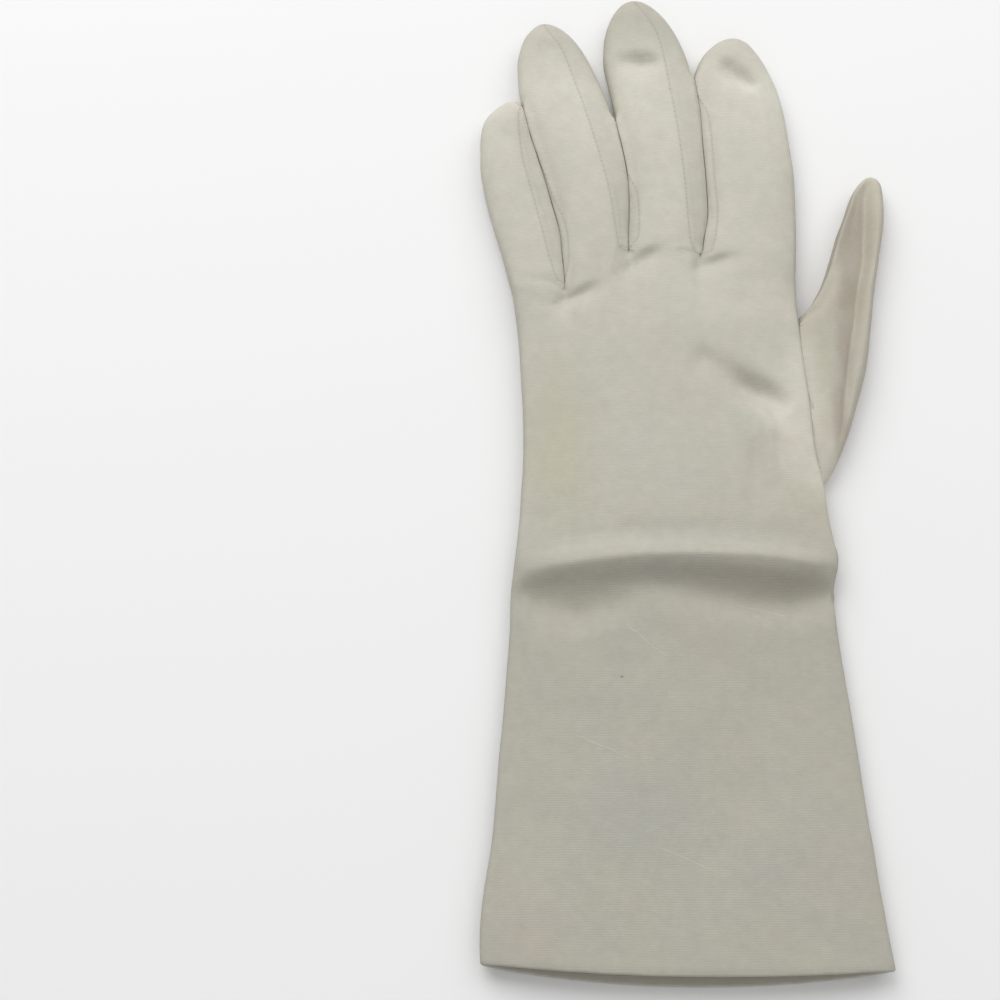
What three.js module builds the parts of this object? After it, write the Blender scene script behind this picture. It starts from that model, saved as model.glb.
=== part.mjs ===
import * as THREE from 'three';

// A stretch glove for the left hand, lying palm down.
// Millimetres: x runs toward the thumb, y toward the fingertips, z up from what the glove lies on.
// Each piece of cloth is a closed wall. Angles go round a section from its left edge (PI) over
// the back (PI / 2) to its right edge (0) and on under the palm.

const CLOTH = 1.0; // one layer of knitted cloth
const HEM_CLOTH = 1.6; // the cloth turned up inside the mouth
const HEM_DEPTH = 11; // how far the turned-up cloth reaches from the mouth
const SEAM_GAP = 0.34; // between two pieces along a seam
const SHARPEST_MITRE = 0.03; // keeps the gap at a needle-sharp corner from growing too long

const BACK_CELLS = 5; // across the back of one finger
const PALM_CELLS = 3; // across the palm side of one finger
const SIDE_CELLS = 4; // across a fourchette, and round the folded edge of the panel

const EDGE_HEIGHT = 3.8; // height of the outline, where a section is widest
const FOLD_START = 0.61; // angle where the back ends and the folded edge begins
const TIP_ROUNDING = 9; // length over which a fingertip closes
const TIP_FOLD_SHARE = 0.8; // where the index finger's tip turns into its folded edge
const TIP_SPREAD = 0.6; // how far the cloth fans out along the short line of a tip
const FINGER_POWER = 2.3; // roundness of a finger's back, 2 is an ellipse
const HAND_POWER = 3.2; // flatter back of the hand and cuff
const UNDER_POWER = 3; // flattened underside
const UNDER_FLAT = 1.08; // above 1 gives the underside a flat band that rests
const SNAP_SHARE = 0.9995; // a seam this near to the outline lies on it
const CROTCH_BLEND = 16; // length over which a finger's section becomes the hand's

// Turns a heading of column names and rows of sizes into records.
const table = (columns, rows) =>
  rows.map((row) => Object.fromEntries(columns.map((name, i) => [name, row[i]])));

// Each finger from its tip down: the outline's two sides, the two seams on the back, the crown.
const FINGER_COLUMNS = ['fromTip', 'left', 'right', 'seamLeft', 'seamRight', 'top'];
const FINGERS = [
  {
    name: 'little', tip: 109.7,
    sections: table(FINGER_COLUMNS, [
      [0, -47.3, -44.1, -47.3, -45.0, 8.0],
      [0.8, -48.4, -43.3, -48.4, -44.7, 8.1],
      [2.2, -50.1, -42.8, -50.1, -44.5, 8.3],
      [4.5, -52.5, -42.3, -52.5, -44.2, 8.6],
      [8, -54.6, -41.7, -54.6, -44.1, 8.9],
      [13, -55.2, -40.6, -55.2, -43.8, 9.1],
      [20, -55.2, -38.5, -55.2, -43.0, 9.2],
      [28, -54.3, -36.2, -54.3, -41.1, 9.3],
      [37, -52.2, -33.9, -52.2, -38.8, 9.5],
      [46, -49.6, -31.8, -49.6, -36.7, 9.7],
      [60.2, -46.0, -31.2, -46.0, -31.0, 9.8],
    ]),
  },
  {
    name: 'ring', tip: 134.8,
    sections: table(FINGER_COLUMNS, [
      [0, -37.8, -34.4, -37.8, -36.2, 8.4],
      [0.8, -38.7, -33.3, -38.7, -36.3, 8.6],
      [2.2, -40.1, -31.3, -40.1, -36.2, 8.9],
      [4.5, -41.9, -28.7, -41.9, -35.5, 9.2],
      [8, -43.4, -25.8, -43.4, -33.0, 9.5],
      [13, -44.3, -23.0, -44.3, -30.5, 9.7],
      [20, -44.1, -20.0, -44.1, -28.1, 9.8],
      [28, -42.8, -17.2, -42.8, -25.4, 9.9],
      [37, -40.3, -14.9, -38.5, -22.8, 10.0],
      [47, -37.0, -13.1, -34.9, -20.1, 10.0],
      [58, -34.1, -12.45, -32.2, -17.7, 10.1],
      [68, -31.7, -12.9, -29.9, -16.4, 10.1],
      [85.3, -30.6, -12.95, -30.8, -12.9, 10.0],
    ]),
  },
  {
    name: 'middle', tip: 142.4,
    sections: table(FINGER_COLUMNS, [
      [0, -10.9, -7.5, -10.9, -9.4, 8.4],
      [0.8, -12.2, -6.5, -12.2, -9.4, 8.7],
      [2.2, -13.8, -4.7, -13.8, -9.4, 9.0],
      [4.5, -15.5, -2.3, -15.5, -8.2, 9.3],
      [8, -17.3, 0.5, -17.3, -6.0, 9.6],
      [13, -18.6, 3.4, -18.6, -3.4, 9.9],
      [20, -19.0, 6.1, -19.0, -1.6, 10.1],
      [28, -17.6, 7.6, -17.6, -0.4, 10.2],
      [37, -15.8, 8.7, -15.8, 1.1, 10.2],
      [47, -13.9, 9.2, -12.6, 2.4, 10.2],
      [58, -12.1, 9.8, -10.8, 3.5, 10.2],
      [68, -11.85, 10.1, -9.5, 4.1, 10.3],
      [76, -12.3, 8.9, -9.7, 4.6, 10.3],
      [83.2, -12.45, 7.5, -12.9, 7.6, 10.1],
    ]),
  },
  {
    name: 'index', tip: 130.2,
    sections: table(FINGER_COLUMNS, [
      [0, 17.6, 21.2, 17.6, 21.2, 8.3],
      [0.8, 16.3, 22.3, 16.3, 22.3, 8.6],
      [2.2, 14.1, 23.9, 14.1, 23.9, 8.9],
      [4.5, 11.7, 25.6, 11.7, 25.6, 9.2],
      [8, 9.2, 27.8, 9.2, 27.8, 9.5],
      [13, 7.8, 30.2, 7.8, 30.2, 9.8],
      [20, 9.1, 32.8, 9.4, 32.8, 10.0],
      [28, 9.7, 34.5, 10.6, 34.5, 10.1],
      [37, 10.0, 35.4, 11.4, 35.4, 10.1],
      [47, 10.6, 36.0, 12.2, 36.0, 10.1],
      [56, 10.8, 36.0, 13.3, 36.0, 10.2],
      [64, 9.6, 35.8, 12.5, 35.8, 10.2],
      [76.2, 8.0, 35.0, 7.6, 35.0, 10.1],
    ]),
  },
];

// Where two fingers part, on the back and palm alike.
const CROTCHES = table(['x', 'y'], [
  [-31.0, 49.5],
  [-12.7, 60.8],
  [7.7, 59.2],
]);
const CROTCH_TOP = 7.5; // height of the seam at a crotch, on the back
const CROTCH_UNDER = 1.0; // and on the palm side
const CROTCH_WEB = 1.5; // how far the strip bulges up between the fingers
const CROTCH_LEAD = 2; // the palm's seams begin to part this far below a crotch
const CROTCH_PARTING = 8; // and are fully apart after this length
const FIRST_LEVEL_SHARE = 0.45; // place of the row between a crotch and the finger's lowest full row
const LEFT_SHOULDER = 50.5; // y where the little finger's outer edge meets the hand
const RIGHT_SHOULDER = 54; // y where the index finger's folded edge meets the hand

// The palm-side seams lie this far in from a finger's outline.
const PALM_INSET = 4.5;
const PALM_INSET_STARTS = 8; // fromTip where the left strip's tip lies
const PALM_INSET_FULL = 20;

// The hand and cuff from the mouth up: outline, crown of the back, how far the folded edge
// is lifted by the base of the thumb, and how far the section bows toward the mouth at its edges.
const HAND = table(['y', 'left', 'right', 'top', 'lift', 'bow'], [
  [-138, -54.8, 53.9, 8.4, 0, 0],
  [-134, -54.9, 53.3, 8.4, 0, 0],
  [-128, -54.7, 52.5, 8.4, 0, 0],
  [-126, -54.6, 52.2, 8.4, 0, 0],
  [-116, -53.3, 50.7, 8.2, 0, 0],
  [-102, -51.3, 49.1, 8.0, 0, 0],
  [-88, -50.2, 47.3, 7.8, 0, 0],
  [-74, -48.8, 45.8, 7.7, 0, 0],
  [-61, -47.8, 44.2, 7.6, 0, 0],
  [-50, -47.0, 42.9, 7.5, 0, 1],
  [-42, -46.6, 42.4, 7.4, 0, 3],
  [-36, -46.5, 42.2, 7.8, 0, 4],
  [-32.5, -46.3, 42.5, 9.4, 0, 4],
  [-29.6, -46.0, 43.1, 11.4, 0.4, 4],
  [-27.3, -45.8, 43.7, 12.0, 1.0, 4],
  [-24.5, -45.5, 43.8, 10.5, 1.9, 4],
  [-21, -45.0, 42.8, 9.7, 2.8, 3.6],
  [-15, -44.3, 41.5, 9.8, 3.7, 2.5],
  [-8, -43.8, 40.6, 9.9, 4.4, 1.2],
  [0, -43.2, 38.8, 10.0, 5.0, 0],
  [8, -43.1, 38.0, 10.0, 5.3, 0],
  [16, -43.3, 37.4, 10.0, 5.3, 0],
  [24, -43.7, 36.6, 10.0, 5.3, 0],
  [31, -44.0, 35.9, 10.1, 5.2, 0],
  [39, -44.6, 35.3, 10.2, 4.7, 0],
  [45.5, -45.4, 34.9, 10.2, 2.2, 0],
  [54, -46.1, 35.1, 10.1, 0, 0],
]);
const LAST_HAND_ROW_BEND = 0.45; // share of the crotches' stagger in the row just below them
const LIFT_SHARE = 0.3; // share of the lift that the crown of the back follows
const SCALLOP_REACH = 9; // how far the rounding of the fingers runs down into the hand

// The mouth's edge at the left, the right and the middle, on the back and on the palm.
const MOUTH_BACK = { left: -136.7, right: -138.4, middle: -140.0 };
const MOUTH_PALM = { left: -137.2, right: -138.7, middle: -142.5 };

// The thumb's teardrop hole in the palm: its inner and outer edge. The rows outside of
// HOLE_FROM to HOLE_TO only guide the mesh round it.
const HOLE_FROM = -21;
const HOLE_TO = 39;
const HOLE = table(['y', 'inner', 'outer'], [
  [-61, 13.0, 31.0],
  [-42, 13.0, 30.0],
  [-32.5, 14.0, 27.0],
  [-24.5, 15.5, 24.0],
  [-21, 16.0, 23.0],
  [-15, 11.0, 29.0],
  [-8, 8.0, 32.5],
  [0, 6.0, 33.0],
  [8, 5.0, 32.2],
  [16, 6.0, 31.6],
  [24, 9.0, 30.9],
  [31, 14.0, 30.0],
  [39, 23.8, 28.4],
  [45.5, 17.0, 26.0],
  [54, 8.0, 24.0],
]);

// The thumb from its base to its tip: left edge where it is clear of the hand, right edge,
// crown, and the crease along it: where it runs across the width, and how deep it is.
const THUMB_COLUMNS = ['y', 'left', 'right', 'top', 'crease', 'depth'];
const THUMB_BASE = table(THUMB_COLUMNS, [
  [-21, 0, 20.0, 2.2, 0, 0],
  [-15, 0, 33.5, 2.7, 0, 0],
  [-8, 0, 41.0, 3.7, 0, 0],
  [0, 0, 45.3, 7.2, 43.6, 0.6],
  [8, 0, 48.4, 8.2, 44.9, 2.2],
  [16, 0, 50.9, 8.6, 45.9, 3.2],
  [24, 0, 53.3, 8.8, 46.8, 3.6],
  [31, 0, 54.9, 8.9, 48.0, 3.8],
  [39, 0, 56.2, 9.0, 49.2, 4.0],
]);
const THUMB_FREE = table(THUMB_COLUMNS, [
  [42.5, 36.8, 56.8, 9.0, 49.7, 4.0],
  [47, 40.2, 57.3, 9.1, 50.4, 4.1],
  [53, 43.1, 58.2, 9.2, 52.4, 4.2],
  [60, 45.5, 59.5, 9.2, 54.8, 4.0],
  [67, 47.7, 60.8, 9.1, 55.8, 3.6],
  [73.5, 50.1, 61.6, 8.8, 56.1, 3.0],
  [78.5, 51.9, 61.7, 8.3, 56.5, 2.2],
  [82, 53.8, 61.5, 7.4, 57.3, 1.0],
  [84.4, 55.7, 60.7, 6.2, 58.1, 0],
  [85.5, 57.4, 59.4, 4.8, 58.4, 0],
]);
const THUMB_EDGE = 3.4; // height of the thumb's outline
const THUMB_UNDER_HAND = 0.9; // how far its top lies below the folded edge's strip of palm
const THUMB_SHOULDER_SHARE = 0.6; // where the top bends up beside the hand, at most
const THUMB_SHOULDER_INSET = 0.6; // and how far under the hand's folded edge
const THUMB_SIDE = 3.6; // width over which its top rounds off at either edge
const THUMB_LEFT_POWER = 2.2; // roundness there
const THUMB_RIGHT_POWER = 2.4;
const THUMB_CLOSING = 4; // height over which its tip closes
const CREASE_WIDTH = 1.5;
const CREASE_FLANK = 1.6; // from the crease to the lines of the mesh beside it
const THUMB_FLAT_INSET = 3.2; // the flat underside stops this far from the right edge
const THUMB_LEFT_INSET = 2.6; // and this far from the left one
const THUMB_LOW_EDGE = 0.24; // share of the outline's height where the underside rounds off
const THUMB_LEFT_LOW = 0.9; // how far in from the left edge that is
const THUMB_SKEW = 10; // width over which a row leaves the hole's slanted inner edge

// Where the mesh's lines run along the thumb, as shares of the width between the places named.
const THUMB_STOPS = {
  underHand: 0.8, besideLeft: 0.03, shoulder: 0.06, beforeCrease: 0.42, afterCrease: 0.72,
  besideRight: 0.96, lowRight: 0.35,
};

// Dents in the back: a line from one point to another, how wide and how deep.
const DENTS = table(['x1', 'y1', 'x2', 'y2', 'width', 'depth'], [
  [-13, 123.5, -4, 120.5, 3.0, 1.3], // across the middle finger's tip
  [15.8, 122.0, 23.5, 115.2, 3.2, 1.4], // slanting over the index finger's tip
  [15.6, 24.7, 30.3, 14.2, 4.2, 1.6], // beside the base of the thumb
  [19.3, 14.0, 18.4, -17.0, 4.0, 0.7], // running down from it
]);

const lerp = (a, b, t) => a + (b - a) * t;
const clamp01 = (t) => Math.min(1, Math.max(0, t));
const ease = (t) => {
  const s = clamp01(t);
  return s * s * (3 - 2 * s);
};

// A smooth curve through one column of a table that never swings past its rows.
function curve(rows, key, value) {
  const sorted = [...rows].sort((a, b) => a[key] - b[key]);
  const at = sorted.map((row) => row[key]);
  const out = sorted.map((row) => row[value]);
  const rise = at.slice(1).map((x, i) => (out[i + 1] - out[i]) / (x - at[i]));
  const slope = at.map((x, i) => {
    if (i === 0 || i === at.length - 1) return rise[Math.min(i, rise.length - 1)];
    if (rise[i - 1] * rise[i] <= 0) return 0;
    return (2 * rise[i - 1] * rise[i]) / (rise[i - 1] + rise[i]);
  });
  return (x) => {
    if (x <= at[0]) return out[0];
    if (x >= at[at.length - 1]) return out[out.length - 1];
    let i = 0;
    while (x > at[i + 1]) i += 1;
    const width = at[i + 1] - at[i];
    const t = (x - at[i]) / width;
    const bulge = t * (1 - t) * width * ((1 - t) * (slope[i] - rise[i]) - t * (slope[i + 1] - rise[i]));
    return lerp(out[i], out[i + 1], t) + bulge;
  };
}

const curves = (rows, key, names) =>
  Object.fromEntries(names.map((name) => [name, curve(rows, key, name)]));

function dentDepth(x, y) {
  let depth = 0;
  for (const dent of DENTS) {
    const along = new THREE.Vector2(dent.x2 - dent.x1, dent.y2 - dent.y1);
    const offset = new THREE.Vector2(x - dent.x1, y - dent.y1);
    const t = clamp01(offset.dot(along) / along.lengthSq());
    const far = offset.addScaledVector(along, -t).length() / dent.width;
    depth += dent.depth * Math.exp(-far * far);
  }
  return depth;
}

const signedPower = (value, power) => Math.sign(value) * Math.pow(Math.abs(value), power);

// The angle on the back, or under the palm, that lies at a share of the half width.
const angleOnBack = (share, power) => Math.acos(signedPower(share, power / 2));
const angleUnder = (share) => -Math.acos(signedPower(share, UNDER_POWER / 2));

// One point of a rounded section that is open to two levels: base below and top above.
function sectionPoint({ left, right, y, angle, power, edge, top, base }) {
  const half = (right - left) / 2;
  const over = Math.sin(angle) >= 0;
  const share = signedPower(Math.cos(angle), 2 / (over ? power : UNDER_POWER));
  const x = (left + right) / 2 + half * share;
  const away = Math.abs(Math.sin(angle));
  const level = edge(share);
  if (over) {
    const z = level + (top(share) - level) * Math.pow(away, 2 / power);
    return new THREE.Vector3(x, y, z - dentDepth(x, y) * away);
  }
  const floor = base(x);
  const drop = Math.min(1, UNDER_FLAT * Math.pow(away, 2 / UNDER_POWER));
  return new THREE.Vector3(x, y, level - (level - floor) * drop);
}

for (const [index, finger] of FINGERS.entries()) {
  finger.at = curves(finger.sections, 'fromTip', FINGER_COLUMNS.slice(1));
  finger.hasLeftStrip = index > 0;
  finger.hasRightStrip = index < FINGERS.length - 1;
  finger.leftCrotch = finger.hasLeftStrip ? CROTCHES[index - 1].y : LEFT_SHOULDER;
  finger.rightCrotch = finger.hasRightStrip ? CROTCHES[index].y : RIGHT_SHOULDER;
}

function fingerPower(finger, y) {
  const crotch = Math.max(finger.leftCrotch, finger.rightCrotch);
  return lerp(HAND_POWER, FINGER_POWER, ease((y - crotch) / CROTCH_BLEND));
}

function fingerPoint(finger, y, angle) {
  const fromTip = finger.tip - y;
  const left = finger.at.left(fromTip);
  const right = finger.at.right(fromTip);
  const rest = 1 - Math.min(fromTip, TIP_ROUNDING) / TIP_ROUNDING;
  const round = Math.sqrt(Math.max(0, 1 - rest * rest));
  const top = lerp(EDGE_HEIGHT, finger.at.top(fromTip), round);
  return sectionPoint({
    left, right, y, angle,
    power: fingerPower(finger, y),
    edge: () => EDGE_HEIGHT,
    top: () => top,
    base: () => lerp(EDGE_HEIGHT, 0, round),
  });
}

// The angles of the four seams round a finger's section.
function fingerSeams(finger, y) {
  const fromTip = finger.tip - y;
  const left = finger.at.left(fromTip);
  const right = finger.at.right(fromTip);
  const half = (right - left) / 2;
  const centre = (left + right) / 2;
  const power = fingerPower(finger, y);
  const share = (x) => {
    const exact = (x - centre) / half;
    return Math.abs(exact) > SNAP_SHARE ? Math.sign(exact) : exact;
  };
  const overCrotch = (crotch) => ease((y - crotch + CROTCH_LEAD) / CROTCH_PARTING);
  const leftInset = PALM_INSET * overCrotch(finger.leftCrotch)
    * ease((fromTip - PALM_INSET_STARTS) / (PALM_INSET_FULL - PALM_INSET_STARTS));
  const rightInset = Math.min(half, PALM_INSET * overCrotch(finger.rightCrotch));
  return {
    backLeft: finger.hasLeftStrip ? angleOnBack(share(finger.at.seamLeft(fromTip)), power) : Math.PI,
    backRight: finger.hasRightStrip ? angleOnBack(share(finger.at.seamRight(fromTip)), power) : FOLD_START,
    palmRight: finger.hasRightStrip ? angleUnder(share(right - rightInset)) : -FOLD_START,
    palmLeft: finger.hasLeftStrip ? angleUnder(share(left + leftInset)) : -Math.PI,
  };
}

const hand = curves(HAND, 'y', ['left', 'right', 'top', 'lift', 'bow']);
const hole = curves(HOLE, 'y', ['inner', 'outer']);

function handPoint(y, angle) {
  const lift = hand.lift(y);
  const crown = hand.top(y);
  const right = hand.right(y);
  const left = hand.left(y);
  const rightEdge = lift + (crown - lift) * (EDGE_HEIGHT / crown);
  const point = sectionPoint({
    left, right, y, angle,
    power: HAND_POWER,
    edge: (share) => lerp(EDGE_HEIGHT, rightEdge, ease((share + 1) / 2)),
    top: (share) => crown + lift * LIFT_SHARE * ease((share + 1) / 2),
    base: (x) => lift * ease((x - hole.inner(y)) / (hole.outer(y) - hole.inner(y))),
  });
  const share = (point.x - (left + right) / 2) / ((right - left) / 2);
  point.y -= hand.bow(y) * share * share;
  return point;
}

// Where the mouth's edge lies at a share of the half width.
const mouthY = (mouth, share) => {
  const ends = lerp(mouth.left, mouth.right, (share + 1) / 2);
  return ends + (mouth.middle - (mouth.left + mouth.right) / 2) * (1 - share * share);
};

// A surface of quads whose corners are shared. Each quad belongs to a piece, and to the back or
// the palm half, between which a seam corner is parted.
class Surface {
  constructor() {
    this.corners = new Map();
    this.quads = [];
  }

  corner(key, make, options = {}) {
    if (!this.corners.has(key)) {
      const point = make();
      this.corners.set(key, { key, point, normal: new THREE.Vector3(), wall: CLOTH, parted: false, ...options });
    }
    return this.corners.get(key);
  }

  quad(piece, half, a, b, c, d) {
    const corners = [a, b, c, d].filter((corner, i, all) => all.indexOf(corner) === i);
    if (corners.length > 2) this.quads.push({ piece, half, corners });
  }

  findNormals() {
    for (const { corners } of this.quads) {
      const face = newell(corners.map((corner) => corner.point));
      for (const corner of corners) corner.normal.add(face);
    }
    for (const corner of this.corners.values()) {
      if (corner.facing) corner.normal.copy(corner.facing);
      corner.normal.normalize();
    }
  }

  // The closed wall of one piece: the outer quads, the inner ones and the rim between them.
  piece(name) {
    const outer = new Map();
    const faces = this.quads.filter((quad) => quad.piece === name).map((quad) =>
      quad.corners.map((corner) => {
        const key = corner.parted ? `${corner.key} ${quad.half}` : corner.key;
        if (!outer.has(key)) outer.set(key, { corner, index: outer.size });
        return key;
      }));
    const rim = rimEdges(faces);
    trimSeam(outer, rim);
    const count = outer.size;
    const positions = [];
    for (const vertex of outer.values()) positions.push(...vertex.point.toArray());
    for (const vertex of outer.values()) {
      const inside = vertex.point.clone().addScaledVector(vertex.corner.normal, -vertex.corner.wall);
      positions.push(...inside.toArray());
    }
    const triangles = [];
    const index = (key) => outer.get(key).index;
    for (const face of faces) {
      for (const [a, b, c] of splitFace(face, outer)) {
        triangles.push(index(a), index(b), index(c));
        triangles.push(index(c) + count, index(b) + count, index(a) + count);
      }
    }
    for (const { from, to } of rim) {
      const a = index(from);
      const b = index(to);
      triangles.push(b, a, a + count, b, a + count, b + count);
    }
    const geometry = new THREE.BufferGeometry();
    geometry.setAttribute('position', new THREE.Float32BufferAttribute(positions, 3));
    geometry.setIndex(triangles);
    geometry.computeVertexNormals();
    return geometry;
  }
}

function newell(points) {
  const normal = new THREE.Vector3();
  points.forEach((p, i) => {
    const q = points[(i + 1) % points.length];
    normal.x += (p.y - q.y) * (p.z + q.z);
    normal.y += (p.z - q.z) * (p.x + q.x);
    normal.z += (p.x - q.x) * (p.y + q.y);
  });
  return normal;
}

// The free edges of a piece, each with the face that it bounds.
function rimEdges(faces) {
  const used = new Set();
  for (const face of faces) face.forEach((key, i) => used.add(`${key}|${face[(i + 1) % face.length]}`));
  const edges = [];
  for (const face of faces) {
    face.forEach((from, i) => {
      const to = face[(i + 1) % face.length];
      if (!used.has(`${to}|${from}`)) edges.push({ from, to, face });
    });
  }
  return edges;
}

// Moves each rim corner into its own piece, so that half a seam's gap is left beside both of
// the edges that meet there. No corner is left below what the glove lies on.
function trimSeam(outer, rim) {
  const place = (key) => outer.get(key).corner.point;
  const inward = new Map();
  for (const { from, to, face } of rim) {
    const along = place(to).clone().sub(place(from));
    const into = newell(face.map(place)).cross(along).normalize();
    for (const key of [from, to]) inward.set(key, [...(inward.get(key) ?? []), into]);
  }
  for (const [key, vertex] of outer) {
    vertex.point = vertex.corner.point.clone();
    if (!inward.has(key)) continue;
    const [a, b] = inward.get(key);
    const mitre = Math.max(1 + a.dot(b), SHARPEST_MITRE);
    vertex.point.add(a.clone().add(b).multiplyScalar(SEAM_GAP / 2 / mitre));
    vertex.point.z = Math.max(vertex.point.z, 0);
  }
}

// Splits a face along its shorter diagonal.
function splitFace(face, outer) {
  if (face.length === 3) return [face];
  const [a, b, c, d] = face;
  const place = (key) => outer.get(key).point;
  return place(a).distanceTo(place(c)) <= place(b).distanceTo(place(d))
    ? [[a, b, c], [a, c, d]]
    : [[a, b, d], [b, c, d]];
}

const glove = new Surface();

// The levels of the mesh along one side of a finger, from its crotch to its tip.
function fingerLevels(finger, crotch) {
  const full = finger.sections.slice(0, -1).map((row) => finger.tip - row.fromTip).reverse();
  return [crotch, lerp(crotch, full[0], FIRST_LEVEL_SHARE), ...full];
}

const foldHalf = (cell) => (cell < SIDE_CELLS / 2 ? 'back' : 'palm');

// The columns round a finger, over the back from left to right and back under the palm.
function fingerColumns(finger) {
  const runs = [
    { part: 'leftStrip', half: 'side', cells: finger.hasLeftStrip ? SIDE_CELLS : 0, side: [0, 0] },
    { part: 'back', half: 'back', cells: BACK_CELLS, side: [0, 1] },
    { part: finger.hasRightStrip ? 'rightStrip' : 'fold', half: 'side', cells: SIDE_CELLS, side: [1, 1] },
    { part: 'palm', half: 'palm', cells: PALM_CELLS, side: [1, 0] },
  ];
  return runs.flatMap(({ part, half, cells, side }) =>
    Array.from({ length: cells }, (_, i) => ({
      part, side, from: i / cells, to: (i + 1) / cells,
      half: part === 'fold' ? foldHalf(i) : half,
    })));
}

function runAngles(finger, part, y) {
  const seams = fingerSeams(finger, y);
  if (part === 'leftStrip') return [seams.palmLeft + 2 * Math.PI, seams.backLeft];
  if (part === 'back') return [seams.backLeft, seams.backRight];
  if (part === 'palm') return [seams.palmRight, seams.palmLeft];
  return [seams.backRight, seams.palmRight];
}

const PIECES = {
  panel: 'hand_panel',
  thumb: 'thumb',
  strips: ['fourchette_ring_little', 'fourchette_middle_ring', 'fourchette_index_middle'],
};

function pieceOf(fingerIndex, part) {
  if (part === 'leftStrip') return PIECES.strips[fingerIndex - 1];
  if (part === 'rightStrip') return PIECES.strips[fingerIndex];
  return PIECES.panel;
}

// A corner of the web between two fingers, from the back's seam down to the palm's.
function webCorner(crotchIndex, share) {
  const { x, y } = CROTCHES[crotchIndex];
  const z = lerp(CROTCH_TOP, CROTCH_UNDER, share);
  const bulge = CROTCH_WEB * Math.sqrt(Math.max(0, 1 - (2 * share - 1) ** 2));
  const key = share === 0 ? `crotch ${crotchIndex} back`
    : share === 1 ? `crotch ${crotchIndex} palm`
      : `crotch ${crotchIndex} ${share}`;
  return glove.corner(key, () => new THREE.Vector3(x, y + bulge, z));
}

// The last corners of a finger lie on one short line, where back and palm are sewn together.
function tipCorner(fingerIndex, part, share) {
  const finger = FINGERS[fingerIndex];
  const left = finger.at.left(0);
  const right = finger.at.right(0);
  const seam = finger.hasRightStrip ? finger.at.seamRight(0) : lerp(left, right, TIP_FOLD_SHARE);
  let x = left;
  if (part === 'back') x = lerp(left, seam, share);
  if (part === 'palm') x = lerp(seam, left, share);
  if (part === 'rightStrip' || part === 'fold') x = lerp(seam, right, 1 - Math.abs(2 * share - 1));
  const facing = new THREE.Vector3(TIP_SPREAD * ((2 * (x - left)) / (right - left) - 1), 1, 0);
  const options = { parted: x !== right, facing };
  return glove.corner(`finger ${fingerIndex} tip ${x.toFixed(3)}`,
    () => new THREE.Vector3(x, finger.tip, EDGE_HEIGHT), options);
}

// One corner of a finger. The lowest level belongs to the hand and to the webs.
function fingerCorner(fingerIndex, level, part, share, side) {
  const finger = FINGERS[fingerIndex];
  const across = lerp(side[0], side[1], share);
  if (level === 0) {
    if (part === 'leftStrip') return webCorner(fingerIndex - 1, 1 - share);
    if (part === 'rightStrip') return webCorner(fingerIndex, share);
    if (across === 0 && finger.hasLeftStrip) return webCorner(fingerIndex - 1, part === 'back' ? 0 : 1);
    if (across === 1 && finger.hasRightStrip) return webCorner(fingerIndex, part === 'back' ? 0 : 1);
  }
  const leftY = fingerLevels(finger, finger.leftCrotch)[level];
  const rightY = fingerLevels(finger, finger.rightCrotch)[level];
  const y = lerp(leftY, rightY, across);
  if (y === finger.tip) return tipCorner(fingerIndex, part, share);
  const [start, end] = runAngles(finger, part, y);
  const angle = lerp(start, end, share);
  const turned = angle > Math.PI ? angle - 2 * Math.PI : angle;
  const atEdge = Math.PI - Math.abs(turned) < 1e-6;
  const key = `finger ${fingerIndex} ${level} ${atEdge ? 'edge' : turned.toFixed(6)} ${across.toFixed(4)}`;
  return glove.corner(key, () => fingerPoint(finger, y, turned), { parted: atEdge });
}

FINGERS.forEach((finger, fingerIndex) => {
  const levels = fingerLevels(finger, 0).length;
  for (const column of fingerColumns(finger)) {
    const corner = (level, share) => fingerCorner(fingerIndex, level, column.part, share, column.side);
    for (let level = 0; level + 1 < levels; level += 1) {
      glove.quad(
        pieceOf(fingerIndex, column.part), column.half,
        corner(level, column.from), corner(level, column.to),
        corner(level + 1, column.to), corner(level + 1, column.from),
      );
    }
  }
});

// The hand's columns: the back from the side seam to the fold, round it, and the palm back.
const BACK_COLUMNS = FINGERS.length * BACK_CELLS;
const FOLD_COLUMNS = BACK_COLUMNS + SIDE_CELLS;
const ALL_COLUMNS = FOLD_COLUMNS + FINGERS.length * PALM_CELLS;
const HOLE_OUTER = FOLD_COLUMNS + 1;
const HOLE_INNER = FOLD_COLUMNS + 3;

const topLeft = hand.left(RIGHT_SHOULDER);
const topRight = hand.right(RIGHT_SHOULDER);
const crotchShares = CROTCHES.map(({ x }) => (2 * (x - topLeft)) / (topRight - topLeft) - 1);
const backMarks = [Math.PI, ...crotchShares.map((share) => angleOnBack(share, HAND_POWER)), FOLD_START];

function columnAngle(column, y) {
  if (column <= BACK_COLUMNS) {
    const group = Math.min(Math.floor(column / BACK_CELLS), FINGERS.length - 1);
    return lerp(backMarks[group], backMarks[group + 1], column / BACK_CELLS - group);
  }
  if (column <= FOLD_COLUMNS) {
    return lerp(FOLD_START, -FOLD_START, (column - BACK_COLUMNS) / SIDE_CELLS);
  }
  const half = (hand.right(y) - hand.left(y)) / 2;
  const centre = (hand.right(y) + hand.left(y)) / 2;
  const under = (x) => angleUnder((x - centre) / half);
  if (column === HOLE_OUTER) return under(hole.outer(y));
  if (column < HOLE_INNER) return under((hole.outer(y) + hole.inner(y)) / 2);
  return lerp(under(hole.inner(y)), -Math.PI, (column - HOLE_INNER) / (ALL_COLUMNS - HOLE_INNER));
}

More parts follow.
